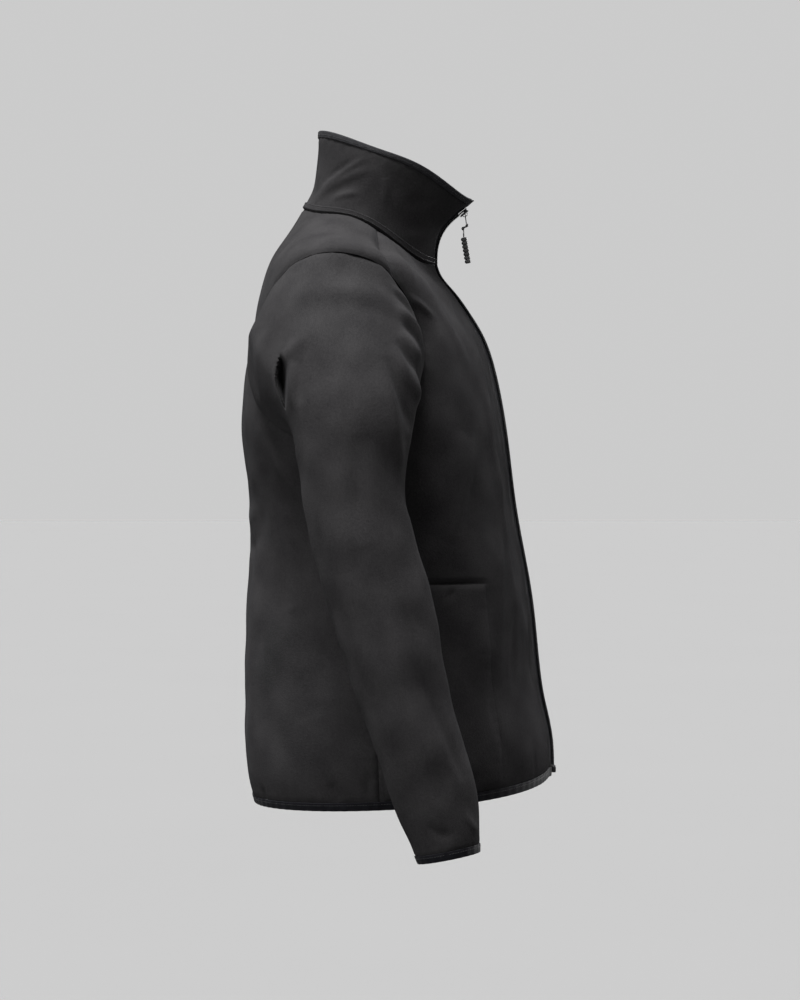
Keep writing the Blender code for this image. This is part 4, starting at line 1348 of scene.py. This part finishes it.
def smoothLine(points, count):
    points = np.asarray(points, float)
    knots = np.concatenate([[0], np.cumsum(np.linalg.norm(np.diff(points, axis=0), axis=1))])
    at = np.linspace(0, knots[-1], count)
    return np.stack([spline(knots, points[:, k], at) for k in range(points.shape[1])], axis=1)


def zipFrame(up, outBy):
    at = np.array([0.0])
    centre = frontLine(at, at + up)[0]
    along = unit(frontLine(at, at + up + 1)[0] - frontLine(at, at + up - 1)[0])
    outward = np.cross((1.0, 0, 0), along)
    return centre + outward * outBy, along, outward


def slab(outline, low, high, centre, along, outward, softness):
    # an outline of across and along, given a thickness with rounded edges
    outline = np.asarray(outline, float)
    middle = outline.mean(axis=0)
    layers = ((low, 1 - softness), (low + 0.25, 1 - softness / 3), (low + 0.5, 1.0))
    layers += ((high - 0.5, 1.0), (high - 0.25, 1 - softness / 3), (high, 1 - softness))
    points = []
    for out, size in layers:
        for x, y in middle + (outline - middle) * size:
            points.append(centre + np.array((1.0, 0, 0)) * x + along * y + outward * out)
    faces = strip(len(layers), len(outline), closed=True)
    faces += endFaces(len(points), len(outline))
    return np.array(points), faces


def joined(name, parts, look):
    points, faces = [], []
    start = 0
    for partPoints, partFaces in parts:
        centre = partPoints.mean(axis=0)
        partFaces = turnedOut(partPoints, partFaces, partPoints - centre)
        points.append(partPoints)
        faces += [tuple(i + start for i in face) for face in partFaces]
        start += len(partPoints)
    return addMesh(name, np.concatenate(points), faces, look, None, 40)


def roundedOutline(halfWide, low, high, foot, count=7):
    # a slider's plate: broad shoulders at the top, narrower at its foot
    points = []
    corners = ((halfWide, high, 0, 2.2), (halfWide * foot, low, -90, 1.2))
    for x, y, last, radius in corners:
        inY = -radius if last == 0 else radius
        for k in range(count):
            angle = math.radians(last + 90 - 90 * k / (count - 1))
            points.append((x - radius + radius * math.cos(angle), y + inY + radius * math.sin(angle)))
    return points + [(-x, y) for x, y in reversed(points)]


def makeSlider():
    centre, along, outward = zipFrame(shape["neckUp"] + zipper["sliderUp"], zipper["sliderTop"])
    half, long = zipper["sliderWide"] / 2, zipper["sliderLong"] / 2
    place, deep = (centre, along, outward), zipper["sliderTall"]
    top = roundedOutline(half, -long, long, zipper["sliderFoot"])
    parts = [slab(top, -zipper["upperPlate"], 0.0, *place, zipper["soft"])]
    parts.append(slab(top, -deep, -deep + zipper["lowerPlate"], *place, zipper["soft"]))
    post = roundedOutline(zipper["postHalf"], long - 5.5, long - 0.8, 0.6)
    parts.append(slab(post, -deep + 1.2, -1.2, *place, 0.05))
    for sign in (-1, 1):
        inner, outer = sign * (half - zipper["railWide"]), sign * half
        low, high = -long + 0.8, long - 4
        rail = [(inner, low), (outer, low), (outer, high), (inner, high)]
        parts.append(slab(rail, -2.0, -1.2, *place, 0.04))
    holeLong, holeTall = zipper["bridgeHole"]
    foot, turn = -holeLong / 2 - 0.45, -holeLong / 2 + 0.9
    arch = [(foot, -0.6), (-holeLong / 2 - 0.4, holeTall * 0.6), (turn, holeTall + 0.35)]
    arch = np.array(arch + [(0, holeTall + 0.6)] + [(-y, z) for y, z in reversed(arch)])
    line = smoothLine(arch, 28)
    path = np.array([centre + along * y + outward * z for y, z in line])
    rings = []
    tangent = unit(np.gradient(path, axis=0))
    side = np.array((1.0, 0, 0))
    other = np.cross(tangent, side)
    sides = zipper["bridgeSides"]
    wide, thick = zipper["bridgeHalf"]
    for k in range(sides):
        angle = 2 * math.pi * k / sides
        rings.append(path + side * wide * math.cos(angle) + other * thick * math.sin(angle))
    bridge = np.stack(rings, axis=1).reshape(-1, 3)
    faces = strip(len(path), sides, closed=True) + endFaces(len(bridge), sides)
    parts.append((bridge, faces))
    piece = joined("zip_slider_body", parts, metal)
    dress(piece, "zip_slider")


def makeBox():
    centre, along, outward = zipFrame(zipper["endsIn"] + zipper["boxLong"] / 2, -1.0)
    long = zipper["boxLong"] / 2 - 0.3
    outline = roundedOutline(zipper["boxHalf"], -long, long, 0.9)
    parts = [slab(outline, *zipper["boxDepths"], centre, along, outward, 0.1)]
    ridge = roundedOutline(3.0, -long + 1.2, long - 1.2, 1.0)
    parts.append(slab(ridge, 1.5, 2.1, centre, along, outward, 0.06))
    piece = joined("zip_retainer_box", parts, coilLook)
    dress(piece, "zip_box")


makeTapes()
makeTeeth()
makeSlider()
makeBox()
print("stage: zip")


# the pull hangs from the slider's bridge
pull = {
    "wire": 0.55,
    "gripWide": 7.6,
    "gripDeep": 5.6,
    "gripRows": 7,
    "gripStart": (1.9, -26.8),
    "gripEnd": (-3.4, -57.6),
    "gripSides": 28,
    "ringsInRow": 12,
    "waist": 0.6,               # how thin the grip is between its beads
    "bead": 0.6,
    "grooveDeep": 0.2,          # it parts each bead in two lobes
    "grooveWide": 0.3,
}
cordLine = table(
    "y z radius",
    (-1.3, -11.0, 1.1),
    (-1.9, -11.9, 2.0),
    (-1.2, -13.6, 1.3),
    (1.6, -15.0, 1.3),
    (2.7, -16.2, 2.0),
    (2.2, -18.2, 0.9),
    (1.9, -21.5, 0.8),
    (1.9, -26.3, 0.8),
)


def hingePoint():
    centre, along, outward = zipFrame(shape["neckUp"] + zipper["sliderUp"], zipper["sliderTop"])
    return centre + outward * zipper["bridgeHole"][1] / 2


def makePull():
    at = hingePoint()
    half = [(0, 0.15), (1.7, 0.0), (2.4, -0.8), (2.5, -2.6), (2.4, -4.5), (1.7, -8.0), (0.7, -9.9)]
    ring = half + [(-x, z) for x, z in half[:0:-1]]
    ring = np.array([(x, 0.12 * z, z) for x, z in ring])
    closedRing = smoothLine(np.concatenate([ring, ring[:1]]), 61)[:-1]
    path, slant = at + closedRing, (0.1, 1.0, 0.2)
    piece = sweep("pull_wire_loop", path, pull["wire"], rubber, closed=True, sides=12, across=slant)
    dress(piece, "pull_loop", body="zip_pull")
    line = np.stack([0 * cordLine["y"], cordLine["y"], cordLine["z"]], axis=1)
    fine = smoothLine(np.concatenate([line, cordLine["radius"][:, None]], axis=1), 60)
    wide = fine[:, 3] * (1 + 0.05 * np.sin(np.arange(60) * 1.9))
    piece = sweep("pull_cord_knots", at + fine[:, :3], wide, rubber)
    dress(piece, "pull_cord", body="zip_pull")
    start, end = (np.array((0, *corner)) for corner in (pull["gripStart"], pull["gripEnd"]))
    rows, sides = pull["gripRows"], pull["gripSides"]
    shares = np.linspace(0, 1, rows * pull["ringsInRow"] + 1)
    along = unit(end - start)
    side = np.array((1.0, 0, 0))
    fore = np.cross(side, along)
    points = []
    for share in shares:
        beat = abs(math.sin(math.pi * share * rows))
        size = pull["waist"] + (1 - pull["waist"]) * beat ** pull["bead"]
        for k in range(sides):
            angle = 2 * math.pi * k / sides
            cos, sin = math.cos(angle), math.sin(angle)
            groove = 1 - pull["grooveDeep"] * math.exp(-((sin / pull["grooveWide"]) ** 2))
            x, y = cos * pull["gripDeep"] / 2 * size * groove, sin * pull["gripWide"] / 2 * size
            points.append(at + start + (end - start) * share + side * x + fore * y)
    points = np.array(points)
    faces = strip(len(shares), sides, closed=True) + endFaces(len(points), sides)
    centres = np.repeat(np.array([at + start + (end - start) * s for s in shares]), sides, axis=0)
    faces = turnedOut(points, faces, points - centres)
    piece = addMesh("pull_ribbed_grip", points, faces, rubber, None, 45)
    dress(piece, "pull_grip", body="zip_pull")


makePull()
print("stage: pull")


# rows of stitches, each a line of short threads on the cloth
stitch = {
    "pitch": 3.0,
    "long": 2.3,
    "radius": 0.28,
    "proud": 0.12,
    "tapeUps": (2.3, 6.7),
    "collarIn": 1.6,            # from a binding's inner edge
    "edgeIn": 1.8,
}


def stitchRow(points, outs):
    points, outs = np.asarray(points), np.asarray(outs)
    along = np.concatenate([[0], np.cumsum(np.linalg.norm(np.diff(points, axis=0), axis=1))])
    starts = np.arange(1.0, along[-1] - stitch["long"] - 1.0, stitch["pitch"])

    def at(values, where):
        return np.stack([np.interp(where, along, values[:, k]) for k in range(3)], axis=1)

    out = unit(at(outs, starts + stitch["long"] / 2))
    lift = out * stitch["proud"]
    return at(points, starts) + lift, at(points, starts + stitch["long"]) + lift, out


def stitchOn(name, rows):
    starts, ends, outs = zip(*[stitchRow(points, out) for points, out in rows])
    starts, ends, outs = (np.concatenate(group) for group in (starts, ends, outs))
    piece = addMesh(name, *capsules(starts, ends, outs, stitch["radius"]), thread, None, 80)
    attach(piece, "jacket")


def ringStitches(surface, form, turns, up, lift):
    at = np.full(len(turns), up)
    out = normalOf(form, turns, at)
    return surface(turns, at) + out * lift, out


def makeStitches():
    turns = aroundTurns(collarRings, 4.0, 2.0, shape["collarScale"])[2:-2]
    place, lift = (collarSurface, collarForm, turns), cloth["seamGap"] + collarMake["tapeThick"]
    stitchOn("stitches_neck_tape", [ringStitches(*place, up, lift) for up in stitch["tapeUps"]])
    up = shape["collarUp"] - shape["collarBindingWidth"] + stitch["collarIn"]
    stitchOn("stitches_collar_binding", [ringStitches(*place, up, bands["proud"])])
    turns = aroundTurns(torsoRings, 4.0, 2.6, shape["torsoScale"])[2:-2]
    up = shape["bindingWidth"] - stitch["edgeIn"]
    stitchOn("stitches_hem", [ringStitches(torso, torsoForm, turns, up, bands["proud"])])
    turns = np.arange(0, 361, 2.5)
    for side, left in (("right", False), ("left", True)):
        at = np.full(len(turns), shape["cuffAlong"] - shape["bindingWidth"] + stitch["edgeIn"])
        form = lambda turn, along: sleeveForm(turn, along, left)
        out = normalOf(form, turns, at)
        base = form(turns, at) + out * (bands["proud"] + sleeveLift(turns, at, left))[:, None]
        if left:
            base, out = base * mirror, out * mirror
        stitchOn(f"stitches_cuff_{side}", [(base, out)])


makeStitches()
print("stage: stitches")


# light, floor and camera
light = {
    "keyFrom": (-0.10, 0.18, 0.95),
    "keyStrength": 25.0,
    "keyAngle": 30,
    "rearFrom": (-0.55, 0.80, 0.10),
    "rearStrength": 5.0,
    "rearAngle": 60,
    "frontFrom": (0.80, -1.0, 0.25),
    "frontStrength": 6.5,
    "frontAngle": 45,
    "surround": 0.60,
    "floorZ": -1.15,
    "floorWide": 200.0,
}
cameraPlace = {"distance": 3.0, "y": -0.0357, "z": -0.314, "frameHeight": 1.19, "sensor": 36.0}


def addSun(name, comesFrom, strength, angle):
    sun = bpy.data.lights.new(name, "SUN")
    sun.energy = strength
    sun.angle = math.radians(angle)
    lamp = bpy.data.objects.new(name, sun)
    lamp.rotation_euler = Vector(comesFrom).to_track_quat("Z", "Y").to_euler()
    bpy.context.scene.collection.objects.link(lamp)


def makeStudio():
    scene = bpy.context.scene
    world = bpy.data.worlds.new("studio")
    world.use_nodes = True
    world.node_tree.nodes["Background"].inputs["Color"].default_value = (1, 1, 1, 1)
    world.node_tree.nodes["Background"].inputs["Strength"].default_value = light["surround"]
    scene.world = world
    # the floor is as pale as the surround, so that no line shows between them
    lit = light["surround"]
    for lamp in ("key", "rear", "front"):
        comesFrom, strength = light[f"{lamp}From"], light[f"{lamp}Strength"]
        addSun(lamp, comesFrom, strength, light[f"{lamp}Angle"])
        lit += strength * Vector(comesFrom).normalized().z / math.pi
    shade = light["surround"] / lit
    floorLook, tree, shader = newLook("floorPaint", (shade,) * 3, 0.9)
    shader.inputs["Specular IOR Level"].default_value = 0.0
    where = placeOn(tree)
    cloudy = noise(tree, where, 1.2)
    paint(tree, shader, cloudy, (shade * 1.01,) * 3, (shade * 0.99,) * 3)
    half = light["floorWide"] / 2 / mm
    low = light["floorZ"] / mm
    corners = [(-half, -half, low), (half, -half, low), (half, half, low), (-half, half, low)]
    floor = addMesh("floor", corners, [(0, 1, 2, 3)], floorLook)
    lens = bpy.data.cameras.new("camera")
    lens.sensor_width = cameraPlace["sensor"]
    lens.lens = cameraPlace["sensor"] * cameraPlace["distance"] / cameraPlace["frameHeight"]
    camera = bpy.data.objects.new("camera", lens)
    camera.location = (-cameraPlace["distance"], cameraPlace["y"], cameraPlace["z"])
    camera.rotation_euler = (math.radians(90), 0, math.radians(-90))
    scene.collection.objects.link(camera)
    scene.camera = camera
    scene.view_settings.view_transform = "Standard"


makeStudio()
print("stage: studio")
